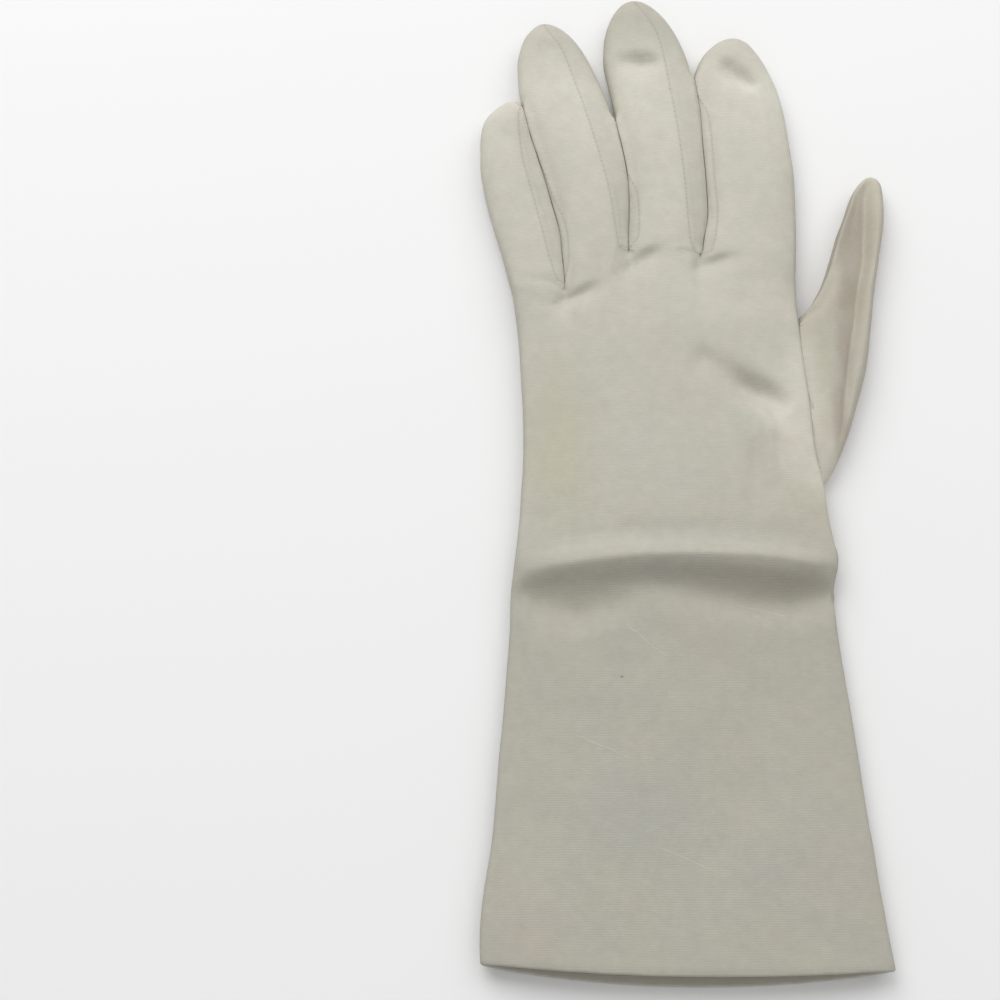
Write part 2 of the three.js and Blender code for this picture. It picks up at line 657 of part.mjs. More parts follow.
// The corners of the hand's top row are the lowest ones of the fingers.
function topRowCorner(column) {
  if (column <= BACK_COLUMNS) {
    const group = Math.min(Math.floor(column / BACK_CELLS), FINGERS.length - 1);
    return fingerCorner(group, 0, 'back', column / BACK_CELLS - group, [0, 1]);
  }
  if (column <= FOLD_COLUMNS) {
    return fingerCorner(FINGERS.length - 1, 0, 'fold', (column - BACK_COLUMNS) / SIDE_CELLS, [1, 1]);
  }
  const across = (column - FOLD_COLUMNS) / PALM_CELLS;
  const group = Math.min(Math.floor(across), FINGERS.length - 1);
  return fingerCorner(FINGERS.length - 1 - group, 0, 'palm', across - group, [1, 0]);
}

const handRows = HAND.slice(0, -1).map((row) => row.y);
const TOP_ROW = handRows.length;

function handCorner(row, column) {
  if (row === TOP_ROW) return topRowCorner(column);
  const key = column === 0 || column === ALL_COLUMNS ? `hand ${row} edge` : `hand ${row} ${column}`;
  const options = { parted: column === 0 || column === ALL_COLUMNS };
  if (handRows[row] - handRows[0] < HEM_DEPTH) options.wall = HEM_CLOTH;
  return glove.corner(key, () => {
    let y = handRows[row];
    const top = topRowCorner(column).point;
    if (row === TOP_ROW - 1) y += (top.y - RIGHT_SHOULDER) * LAST_HAND_ROW_BEND;
    const angle = columnAngle(column, y);
    const point = handPoint(y, angle);
    if (row === 0) {
      const share = (2 * (point.x - hand.left(y))) / (hand.right(y) - hand.left(y)) - 1;
      const under = clamp01(0.5 - Math.sin(angle) / (2 * Math.sin(FOLD_START)));
      point.y = lerp(mouthY(MOUTH_BACK, share), mouthY(MOUTH_PALM, share), under);
    }
    const reach = Math.exp(-Math.max(0, top.y - y) / SCALLOP_REACH);
    const smooth = handPoint(RIGHT_SHOULDER, columnAngle(column, RIGHT_SHOULDER));
    if (column < BACK_COLUMNS) point.z += (top.z - smooth.z) * reach;
    point.x += (top.x - smooth.x) * (column <= BACK_COLUMNS ? reach : 0);
    return point;
  }, options);
}

const inHole = (row, column) =>
  handRows[row] >= HOLE_FROM && handRows[row + 1] <= HOLE_TO && column >= HOLE_OUTER && column < HOLE_INNER;

for (let row = 0; row < TOP_ROW; row += 1) {
  for (let column = 0; column < ALL_COLUMNS; column += 1) {
    if (inHole(row, column)) continue;
    const half = column < BACK_COLUMNS + SIDE_CELLS / 2 ? 'back' : 'palm';
    glove.quad(
      PIECES.panel, half,
      handCorner(row, column), handCorner(row, column + 1),
      handCorner(row + 1, column + 1), handCorner(row + 1, column),
    );
  }
}

// The thumb: its top layer runs from the hole's outer edge to the thumb's right edge, and its
// under layer back to the hole's inner edge. Clear of the hand the two are joined at the left.
const thumbSurface = new Surface();
const TOP_STOPS = 9;
const UNDER_STOPS = 5;
const LEFT_STOPS = 2;
const THUMB_COLUMNS_ROUND = TOP_STOPS + UNDER_STOPS + LEFT_STOPS;

// Heights across the thumb's top at a share of its width beyond the shoulder.
function thumbTop(row, x, shoulder, start) {
  const rise = 1 - (1 - clamp01((x - shoulder) / THUMB_SIDE)) ** THUMB_LEFT_POWER;
  const fall = Math.sqrt(Math.max(0, 1 - clamp01(1 - (row.right - x) / THUMB_SIDE) ** THUMB_RIGHT_POWER));
  const crease = row.depth * Math.exp(-(((x - row.crease) / CREASE_WIDTH) ** 2));
  return lerp(THUMB_EDGE, lerp(start, row.top, rise), fall) - crease;
}

function thumbRow(row, attached) {
  const gridRow = handRows.indexOf(row.y);
  const outer = attached ? handCorner(gridRow, HOLE_OUTER).point : new THREE.Vector3(row.left, row.y, THUMB_EDGE);
  const inner = attached ? handCorner(gridRow, HOLE_INNER).point : outer;
  const bottomEnd = attached && row.y === HOLE_FROM;
  const closing = attached ? 1 : ease((row.top - THUMB_EDGE) / THUMB_CLOSING);
  const besideHand = Math.min(
    hand.right(row.y) - THUMB_SHOULDER_INSET,
    lerp(outer.x, row.right, THUMB_SHOULDER_SHARE),
  );
  const shoulder = attached ? besideHand : row.left;
  const start = attached ? hand.lift(row.y) - THUMB_UNDER_HAND : THUMB_EDGE;
  const crease = row.crease > 0 ? row.crease : lerp(shoulder, row.right, THUMB_SHOULDER_SHARE);
  const flank = row.depth > 0 ? CREASE_FLANK : CREASE_FLANK / 2;
  const tops = [
    outer.x,
    attached
      ? lerp(outer.x, shoulder, THUMB_STOPS.underHand)
      : lerp(shoulder, row.right, THUMB_STOPS.besideLeft),
    lerp(shoulder, row.right, THUMB_STOPS.shoulder),
    lerp(shoulder, crease, THUMB_STOPS.beforeCrease),
    crease - flank,
    crease,
    crease + flank,
    lerp(crease, row.right, THUMB_STOPS.afterCrease),
    lerp(crease, row.right, THUMB_STOPS.besideRight),
    row.right,
  ];
  const flatFrom = row.right - THUMB_FLAT_INSET * closing;
  const flatTo = attached ? inner.x : row.left + THUMB_LEFT_INSET * closing;
  const unders = [
    lerp(row.right, flatFrom, THUMB_STOPS.lowRight),
    flatFrom,
    lerp(flatFrom, flatTo, 1 / 3),
    lerp(flatFrom, flatTo, 2 / 3),
    flatTo,
  ];
  const points = [];
  const y = (x) => (attached ? lerp(inner.y, row.y, clamp01((x - inner.x) / THUMB_SKEW)) : row.y);
  tops.forEach((x, i) => {
    if (bottomEnd) {
      const share = i / (TOP_STOPS + UNDER_STOPS);
      points.push(outer.clone().lerp(inner, share));
      return;
    }
    const level = i < 2 && attached ? start : thumbTop(row, x, shoulder, start);
    points.push(new THREE.Vector3(x, i === 0 ? outer.y : y(x), level));
  });
  unders.forEach((x, i) => {
    if (bottomEnd) {
      const share = (TOP_STOPS + 1 + i) / (TOP_STOPS + UNDER_STOPS);
      points.push(outer.clone().lerp(inner, share));
      return;
    }
    const z = i === 0 ? THUMB_EDGE * THUMB_LOW_EDGE : 0;
    points.push(new THREE.Vector3(x, y(x), attached ? z : lerp(THUMB_EDGE, z, closing)));
  });
  if (!attached) {
    const low = lerp(THUMB_EDGE, THUMB_EDGE * THUMB_LOW_EDGE, closing);
    points.push(new THREE.Vector3(row.left + THUMB_LEFT_LOW * closing, row.y, low));
  }
  return points;
}

const thumbRows = [
  ...THUMB_BASE.map((row) => ({ attached: true, points: thumbRow(row, true) })),
  ...THUMB_FREE.map((row) => ({ attached: false, points: thumbRow(row, false) })),
];

function thumbCorner(row, column) {
  const { attached, points } = thumbRows[row];
  if (attached && column > TOP_STOPS + UNDER_STOPS) {
    const share = (column - TOP_STOPS - UNDER_STOPS) / LEFT_STOPS;
    const across = points[points.length - 1].clone().lerp(points[0], share);
    return thumbSurface.corner(`${row} ${share === 1 ? 0 : column}`, () => across);
  }
  const at = column === THUMB_COLUMNS_ROUND ? 0 : column;
  return thumbSurface.corner(`${row} ${at}`, () => points[at].clone());
}

const lastBaseRow = THUMB_BASE.length - 1;
for (let row = 0; row + 1 < thumbRows.length; row += 1) {
  const round = row >= lastBaseRow ? THUMB_COLUMNS_ROUND : TOP_STOPS + UNDER_STOPS;
  for (let column = 0; column < round; column += 1) {
    thumbSurface.quad(
      PIECES.thumb, 'side',
      thumbCorner(row, column), thumbCorner(row, column + 1),
      thumbCorner(row + 1, column + 1), thumbCorner(row + 1, column),
    );
  }
}
const lastThumbRow = thumbRows.length - 1;
for (let column = 0; column < THUMB_COLUMNS_ROUND / 2; column += 1) {
  thumbSurface.quad(
    PIECES.thumb, 'side',
    thumbCorner(lastThumbRow, column), thumbCorner(lastThumbRow, column + 1),
    thumbCorner(lastThumbRow, THUMB_COLUMNS_ROUND - column - 1),
    thumbCorner(lastThumbRow, THUMB_COLUMNS_ROUND - column),
  );
}

glove.findNormals();
thumbSurface.findNormals();

const model = new THREE.Group();
model.name = 'stretch_glove';

function addPiece(surface, name, color) {
  const material = new THREE.MeshStandardMaterial({ color, roughness: 0.82, metalness: 0 });
  const mesh = new THREE.Mesh(surface.piece(name), material);
  mesh.name = name;
  model.add(mesh);
}

addPiece(glove, PIECES.panel, 0xc9c6b9);
addPiece(thumbSurface, PIECES.thumb, 0xc6c0ad);
for (const strip of PIECES.strips) addPiece(glove, strip, 0xc4c1b3);

// The origin is the middle of the rectangle that the glove covers, on what it lies on.
const box = new THREE.Box3().setFromObject(model);
const middle = box.getCenter(new THREE.Vector3());
for (const mesh of model.children) mesh.geometry.translate(-middle.x, -middle.y, -box.min.z);

export default model;
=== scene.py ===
import math
from functools import lru_cache

import bmesh
import bpy
import numpy as np
from bpy.props import FloatProperty, FloatVectorProperty, PointerProperty
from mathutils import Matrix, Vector, noise
from mathutils.bvhtree import BVHTree
from mathutils.kdtree import KDTree


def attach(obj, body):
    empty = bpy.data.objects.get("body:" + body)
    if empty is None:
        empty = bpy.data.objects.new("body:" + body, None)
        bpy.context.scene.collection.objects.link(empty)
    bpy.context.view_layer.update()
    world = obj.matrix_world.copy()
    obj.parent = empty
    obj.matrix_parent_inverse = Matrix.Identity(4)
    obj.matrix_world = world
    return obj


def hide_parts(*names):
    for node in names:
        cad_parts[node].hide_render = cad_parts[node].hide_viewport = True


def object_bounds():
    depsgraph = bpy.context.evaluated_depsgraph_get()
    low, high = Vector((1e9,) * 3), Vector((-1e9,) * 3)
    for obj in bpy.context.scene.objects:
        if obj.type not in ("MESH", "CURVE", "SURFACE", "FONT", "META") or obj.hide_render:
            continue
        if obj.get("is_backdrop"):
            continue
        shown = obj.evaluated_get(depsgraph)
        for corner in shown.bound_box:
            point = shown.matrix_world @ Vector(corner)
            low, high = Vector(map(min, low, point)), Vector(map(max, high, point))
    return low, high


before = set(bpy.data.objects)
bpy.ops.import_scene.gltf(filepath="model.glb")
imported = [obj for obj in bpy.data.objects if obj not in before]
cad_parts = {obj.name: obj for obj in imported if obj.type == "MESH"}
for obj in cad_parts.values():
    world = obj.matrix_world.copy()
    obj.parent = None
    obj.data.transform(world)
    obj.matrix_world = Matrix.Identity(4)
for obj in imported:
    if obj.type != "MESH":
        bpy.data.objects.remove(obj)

# A stretch glove for the left hand, lying palm down.
# The tables are in the pattern's millimetres: x runs toward the thumb, y toward the fingertips and
# z up from what the glove lies on. Angles go round a section from its left edge (pi) over the
# back (pi / 2) to its right edge (0) and on under the palm.

bl_info = {
    "name": "Stretch Glove",
    "version": (1, 0, 0),
    "blender": (4, 5, 0),
    "location": "3D View > Sidebar > Glove",
    "description": "Models a knitted dress glove that lies palm down, and its stage",
    "category": "Add Mesh",
}

CAD_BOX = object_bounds()
MM = 0.001
PATTERN_MIDDLE = np.array([3.27, 0.08, 0.0])  # the pattern's point that lies at the object's origin
UV_PER_MM = 0.01  # the cloth's own map, in which the knit runs true
TINY = 1e-9  # keeps a division by a length from failing
SAME = 1e-6  # sizes nearer than this to each other are the same

BACK_CELLS = 5  # across the back of one finger
PALM_CELLS = 5  # across the palm side of one finger
STRIP_CELLS = 4  # across a fourchette
FOLD_CELLS = 6  # round the folded edge of the panel
SMOOTHING = 2  # levels of subdivision
FIT_ROUNDS = 4  # how often the cage is moved until its smooth surface meets the pattern
FIT_LIMIT = 0.7  # share of its shortest edge by which a corner may be moved

EDGE_HEIGHT = 3.8  # height of the outline, where a section is widest
FOLD_START = 0.61  # angle where the back ends and the folded edge begins
TIP_ROUNDING = 9  # length over which a fingertip closes
TIP_BOW = 0.3  # how far the short line of a tip bends back at its ends
TIP_BOW_REACH = 1.2  # and the length over which the rows below it straighten
TIP_FOLD_SHARE = 0.8  # where the index finger's tip turns into its folded edge
FINGER_POWER = 2.3  # roundness of a finger's back, 2 is an ellipse
HAND_POWER = 3.2  # flatter back of the hand and cuff
UNDER_POWER = 3  # flattened underside
UNDER_FLAT = 1.08  # above 1 gives the underside a flat band that rests
SNAP_SHARE = 0.9995  # a seam this near to the outline lies on it
CROTCH_BLEND = 16  # length over which a finger's section becomes the hand's
CROTCH_LEAD = 2  # the palm's seams begin to part this far below a crotch
CROTCH_PARTING = 8  # and are fully apart after this length

# The parts of the surface, by which the pieces are told apart.
BACK, PALM, FOLD, RING_LITTLE, MIDDLE_RING, INDEX_MIDDLE, THUMB = range(7)
STRIPS = (RING_LITTLE, MIDDLE_RING, INDEX_MIDDLE)


def table(columns, *rows):
    """Turn a heading of column names and rows of sizes into records."""
    names = columns.split()
    return [dict(zip(names, row)) for row in rows]


# Each finger from its tip down: the outline's two sides, the two seams on the back, the crown.
FINGER_COLUMNS = "from_tip left right seam_left seam_right top"
FINGERS = [
    {
        "name": "little", "tip": 109.7, "last_full_row": 46.0, "tilt": -0.24,
        "sections": table(
            FINGER_COLUMNS,
            (0, -47.3, -44.1, -47.3, -45.0, 8.0),
            (0.8, -48.4, -43.3, -48.4, -44.7, 8.1),
            (2.2, -50.1, -42.8, -50.1, -44.5, 8.3),
            (4.5, -52.5, -42.3, -52.5, -44.2, 8.6),
            (8, -54.6, -41.7, -54.6, -44.1, 8.9),
            (13, -55.2, -40.6, -55.2, -43.8, 9.1),
            (20, -55.2, -38.5, -55.2, -43.0, 9.2),
            (28, -54.3, -36.2, -54.3, -41.1, 9.3),
            (37, -52.2, -33.9, -52.2, -38.8, 9.5),
            (46, -49.6, -31.8, -49.6, -36.7, 9.7),
            (53.4, -47.7, -31.5, -47.7, -34.8, 9.75),
            (57.1, -46.8, -31.3, -46.8, -33.5, 9.8),
            (60.2, -46.0, -31.2, -46.0, -31.0, 9.8),
        ),
    },
    {
        "name": "ring", "tip": 134.8, "last_full_row": 68.0, "tilt": -0.25,
        "sections": table(
            FINGER_COLUMNS,
            (0, -37.8, -34.4, -37.8, -36.2, 8.4),
            (0.8, -38.7, -33.3, -38.7, -36.3, 8.6),
            (2.2, -40.1, -31.3, -40.1, -36.2, 8.9),
            (4.5, -41.9, -28.7, -41.9, -35.5, 9.2),
            (8, -43.4, -25.8, -43.4, -33.0, 9.5),
            (13, -44.3, -23.0, -44.3, -30.5, 9.7),
            (20, -44.1, -20.0, -44.1, -28.1, 9.8),
            (28, -42.8, -17.2, -42.8, -25.4, 9.9),
            (37, -40.3, -14.9, -39.9, -22.8, 10.0),
            (47, -37.0, -13.1, -36.2, -20.1, 10.0),
            (58, -34.1, -12.45, -32.9, -17.7, 10.1),
            (68, -31.7, -12.9, -30.3, -16.4, 10.1),
            (77, -31.1, -12.9, -29.7, -14.6, 10.1),
            (81.5, -30.9, -12.9, -29.7, -13.7, 10.1),
            (85.3, -30.6, -12.95, -30.8, -12.9, 10.0),
        ),
    },
    {
        "name": "middle", "tip": 142.4, "last_full_row": 76.0, "tilt": -0.12,
        "sections": table(
            FINGER_COLUMNS,
            (0, -10.9, -7.5, -10.9, -9.4, 8.4),
            (0.8, -12.2, -6.5, -12.2, -9.4, 8.7),
            (2.2, -13.8, -4.7, -13.8, -9.4, 9.0),
            (4.5, -15.5, -2.3, -15.5, -8.2, 9.3),
            (8, -17.3, 0.5, -17.3, -6.0, 9.6),
            (13, -18.6, 3.4, -18.6, -3.4, 9.9),
            (20, -19.0, 6.1, -19.0, -1.6, 10.1),
            (28, -17.6, 7.6, -17.6, -0.4, 10.2),
            (37, -15.8, 8.7, -15.7, 1.1, 10.2),
            (47, -13.9, 9.2, -13.2, 2.4, 10.2),
            (58, -12.1, 9.8, -11.0, 3.5, 10.2),
            (68, -11.85, 10.1, -9.5, 4.1, 10.3),
            (76, -12.3, 8.9, -9.7, 4.6, 10.3),
            (80, -12.4, 8.1, -11.3, 5.3, 10.2),
            (83.2, -12.45, 7.5, -12.9, 7.6, 10.1),
        ),
    },
    {
        "name": "index", "tip": 130.2, "last_full_row": 64.0, "tilt": 0.0,
        "sections": table(
            FINGER_COLUMNS,
            (0, 17.6, 21.2, 17.6, 21.2, 8.3),
            (0.8, 16.3, 22.3, 16.3, 22.3, 8.6),
            (2.2, 14.1, 23.9, 14.1, 23.9, 8.9),
            (4.5, 11.7, 25.6, 11.7, 25.6, 9.2),
            (8, 9.2, 27.8, 9.2, 27.8, 9.5),
            (13, 7.8, 30.2, 7.8, 30.2, 9.8),
            (20, 9.1, 32.8, 10.0, 32.8, 10.0),
            (28, 9.7, 34.5, 11.5, 34.5, 10.1),
            (37, 10.0, 35.4, 12.2, 35.4, 10.1),
            (47, 10.6, 36.0, 12.6, 36.0, 10.1),
            (56, 10.8, 36.0, 13.1, 36.0, 10.2),
            (64, 9.6, 35.8, 12.4, 35.8, 10.2),
            (76.2, 8.0, 35.0, 7.6, 35.0, 10.1),
        ),
    },
]
TIP_LEVELS = (0, 0.4, 1.1, 2.2, 4, 6.5, 9.5, 13, 17, 21.5, 26.5)  # from the tip, close together first
LEVEL_STEP = 5.5  # from there down to the last full row
SLANTED_LEVELS = (0.0, 0.22, 0.48, 0.74)  # shares of the way up from a crotch to that row

# Where two fingers part, on the back and palm alike, and the highest point where they touch.
CROTCHES = table(
    "x y touch_x touch_y",
    (-31.0, 49.5, -43.3, 108.8),
    (-12.7, 60.8, -16.7, 105.3),
    (7.7, 59.2, 7.1, 118.5),
)
CROTCH_TOP = 7.5  # height of the seam at a crotch, on the back
CROTCH_UNDER = 1.0  # and on the palm side
CROTCH_WEB = 1.5  # how far the strip bulges up between the fingers
LEFT_SHOULDER = 50.5  # y where the little finger's outer edge meets the hand
RIGHT_SHOULDER = 54.0  # y where the index finger's folded edge meets the hand

# The palm-side seams lie this far in from a finger's outline.
PALM_INSET = 4.5
PALM_INSET_STARTS = 8  # from the tip, where the left strip's end lies
PALM_INSET_FULL = 20

# The hand and cuff from the mouth up: outline, crown of the back, how far the folded edge
# is lifted by the base of the thumb, and how far the section bows toward the mouth at its edges.
HAND = table(
    "y left right top lift bow",
    (-138, -54.8, 53.9, 8.4, 0, 0),
    (-134, -54.9, 53.3, 8.4, 0, 0),
    (-128, -54.7, 52.5, 8.4, 0, 0),
    (-126, -54.6, 52.2, 8.4, 0, 0),
    (-116, -53.3, 50.7, 8.2, 0, 0),
    (-102, -51.3, 49.1, 8.0, 0, 0),
    (-88, -50.2, 47.3, 7.8, 0, 0),
    (-74, -48.8, 45.8, 7.7, 0, 0),
    (-61, -47.8, 44.2, 7.6, 0, 0),
    (-50, -47.0, 42.9, 7.5, 0, 1),
    (-42, -46.6, 42.4, 7.4, 0, 3),
    (-36, -46.5, 42.2, 7.8, 0, 4),
    (-32.5, -46.3, 42.5, 10.1, 0, 4),
    (-29.6, -46.0, 43.1, 11.9, 0.4, 4),
    (-27.3, -45.8, 43.7, 11.8, 1.0, 4),
    (-24.5, -45.5, 43.8, 10.3, 1.9, 4),
    (-21, -45.0, 42.8, 9.7, 2.8, 3.6),
    (-15, -44.3, 41.5, 9.8, 3.7, 2.5),
    (-8, -43.8, 40.6, 9.9, 4.4, 1.2),
    (0, -43.2, 38.8, 10.0, 5.0, 0),
    (8, -43.1, 38.0, 10.0, 5.3, 0),
    (16, -43.3, 37.4, 10.0, 5.3, 0),
    (24, -43.7, 36.6, 10.0, 5.3, 0),
    (31, -44.0, 35.9, 10.1, 5.2, 0),
    (39, -44.6, 35.3, 10.2, 4.7, 0),
    (45.5, -45.4, 34.9, 10.2, 2.2, 0),
    (54, -46.1, 35.1, 10.1, 0, 0),
)
LIFT_SHARE = 0.3  # share of the lift that the crown of the back follows
SCALLOP_REACH = 9  # how far the rounding of the fingers runs down into the hand

# The cage's rows across the hand, close together at the gathered wrist, and how much each
# follows the stagger of the crotches.
HAND_ROWS = table(
    "y bend",
    (-138, 0), (-132, 0), (-124, 0), (-115, 0), (-105, 0), (-95, 0), (-85, 0), (-75, 0),
    (-66, 0), (-58, 0), (-52, 0), (-47, 0), (-43, 0), (-39.5, 0), (-36.8, 0), (-34.5, 0),
    (-32.5, 0), (-30.8, 0), (-29.2, 0), (-27.6, 0), (-26, 0), (-24.3, 0), (-22.5, 0), (-21, 0),
    (-17.5, 0), (-13, 0), (-8, 0), (-3, 0), (2, 0), (7, 0), (12, 0), (17, 0), (22, 0),
    (26.5, 0), (31, 0), (35, 0), (39, 0), (43, 0.25), (47, 0.55), (50.5, 0.8),
)

# The mouth's edge at the left, the right and the middle, on the back and on the palm.
MOUTH_BACK = {"left": -136.7, "right": -138.4, "middle": -140.0}
MOUTH_PALM = {"left": -137.2, "right": -138.7, "middle": -142.5}
HEM_TOP = -127.0  # y up to which the cloth is turned up inside the mouth
HEM_EDGE = -133.0  # y below which a free edge is the mouth's

# The thumb's teardrop hole in the palm: its inner and outer edge. The rows outside of
# HOLE_FROM to HOLE_TO only guide the cage round it.
HOLE_FROM = -21
HOLE_TO = 39
HOLE = table(
    "y inner outer",
    (-61, 13.0, 31.0),
    (-42, 13.0, 30.0),
    (-32.5, 14.0, 27.0),
    (-24.5, 15.5, 24.0),
    (-21, 16.0, 23.0),
    (-15, 11.0, 29.0),
    (-8, 8.0, 32.5),
    (0, 6.0, 33.0),
    (8, 5.0, 32.2),
    (16, 6.0, 31.6),
    (24, 9.0, 30.9),
    (31, 14.0, 30.0),
    (39, 23.8, 28.4),
    (45.5, 17.0, 26.0),
    (54, 8.0, 24.0),
)

# The thumb from its base to its tip: right edge, crown, and the crease along it: where it runs
# across the width, how deep it is and how far its slanted left side reaches. Clear of the hand
# it has a left edge too.
THUMB_BASE = table(
    "y right top crease depth soft",
    (-21, 20.0, 2.2, 19.0, 0, 2.4),
    (-15, 33.5, 2.7, 32.8, 0, 2.4),
    (-8, 41.0, 3.7, 39.6, 0, 2.4),
    (0, 45.3, 7.2, 43.2, 0.2, 2.4),
    (8, 48.4, 8.2, 45.7, 1.0, 1.8),
    (16, 50.9, 8.6, 47.1, 1.7, 2.2),
    (24, 53.3, 8.8, 48.3, 2.3, 2.8),
    (31, 54.9, 8.9, 49.4, 2.8, 3.6),
    (39, 56.2, 9.0, 51.1, 3.4, 4.6),
)
THUMB_FREE = table(
    "y left right top crease depth soft",
    (42.5, 36.8, 56.8, 9.0, 51.7, 3.7, 5.0),
    (47, 40.2, 57.3, 9.1, 52.4, 4.0, 5.6),
    (53, 43.1, 58.2, 9.2, 53.5, 4.3, 6.4),
    (60, 45.5, 59.5, 9.2, 55.0, 4.6, 9.0),
    (67, 47.7, 60.8, 9.1, 55.5, 4.5, 7.6),
    (73.5, 50.1, 61.6, 8.8, 55.9, 3.6, 5.9),
    (78.5, 51.9, 61.7, 8.3, 56.2, 2.6, 4.4),
    (82, 53.8, 61.5, 7.4, 57.0, 1.2, 3.2),
    (84.4, 55.7, 60.7, 6.2, 58.1, 0, 3.0),
    (85.5, 57.4, 59.4, 4.8, 58.4, 0, 3.0),
)

# The closed tips, each with its sections and its y.
TIP_ROWS = [(finger["sections"], finger["tip"]) for finger in FINGERS]
TIP_ROWS.append((THUMB_FREE[-1:], THUMB_FREE[-1]["y"]))

# The thumb's cage: its rows clear of the hand, and the sizes of its section.
THUMB_FREE_ROWS = (42.5, 46, 50, 54, 58, 62, 66, 70, 73.5, 76.5, 79.2, 81.4, 83.2, 84.6, 85.5)
THUMB_EDGE = 3.4  # height of the thumb's outline
THUMB_UNDER_HAND = 0.9  # how far its top lies below the folded edge's strip of palm
THUMB_SHOULDER_SHARE = 0.6  # where the top bends up beside the hand, at most
THUMB_SHOULDER_INSET = 0.25  # and how far under the hand's folded edge
THUMB_RISE = 1.3  # width over which it comes up beside the hand
THUMB_RISE_STOPS = (0.4, 1.3)  # the lines of the cage there
THUMB_RISE_ROOM = 5.0  # they draw together where the crease is nearer than this
THUMB_SIDE = 3.6  # width over which its top rounds off at the right edge
THUMB_LEFT_SIDE = 0.9  # and at the left one, where that is free
THUMB_LEFT_POWER = 2.2  # roundness there
THUMB_RIGHT_POWER = 2.4
THUMB_CLOSING = 4.0  # height over which its tip closes
CREASE_STEEP = 2.0  # width of the crease's steep right side
CREASE_FLANK = 1.6  # from the crease to the lines of the cage beside it
CREASE_ROOM = 0.45  # share of the room beside the crease that they may take
THUMB_FLAT_INSET = 3.2  # the flat underside stops this far from the right edge
THUMB_LEFT_INSET = 2.6  # and this far from the left one
THUMB_LOW_EDGE = 0.24  # share of the outline's height where the underside rounds off
THUMB_LEFT_LOW = 0.9  # how far in from the left edge that is
THUMB_SKEW = 10.0  # width over which a row leaves the hole's slanted inner edge
THUMB_TILT = 0.15  # how the thumb leans, for the run of its knit
# Where the lines of its cage run, as shares of the width that each name tells.
THUMB_STOPS = {
    "under_hand": 0.8, "beside_left": 0.03, "left": 0.07, "left_top": 0.2, "before_crease": 0.5,
    "after_crease": 0.72, "beside_right": 0.96, "low_right": 0.35,
}


def fold(name, steep, soft, *line):
    """A fold with the widths of its two sides and the line along which it runs."""
    return {"name": name, "steep": steep, "soft": soft, "line": table("x y depth", *line)}


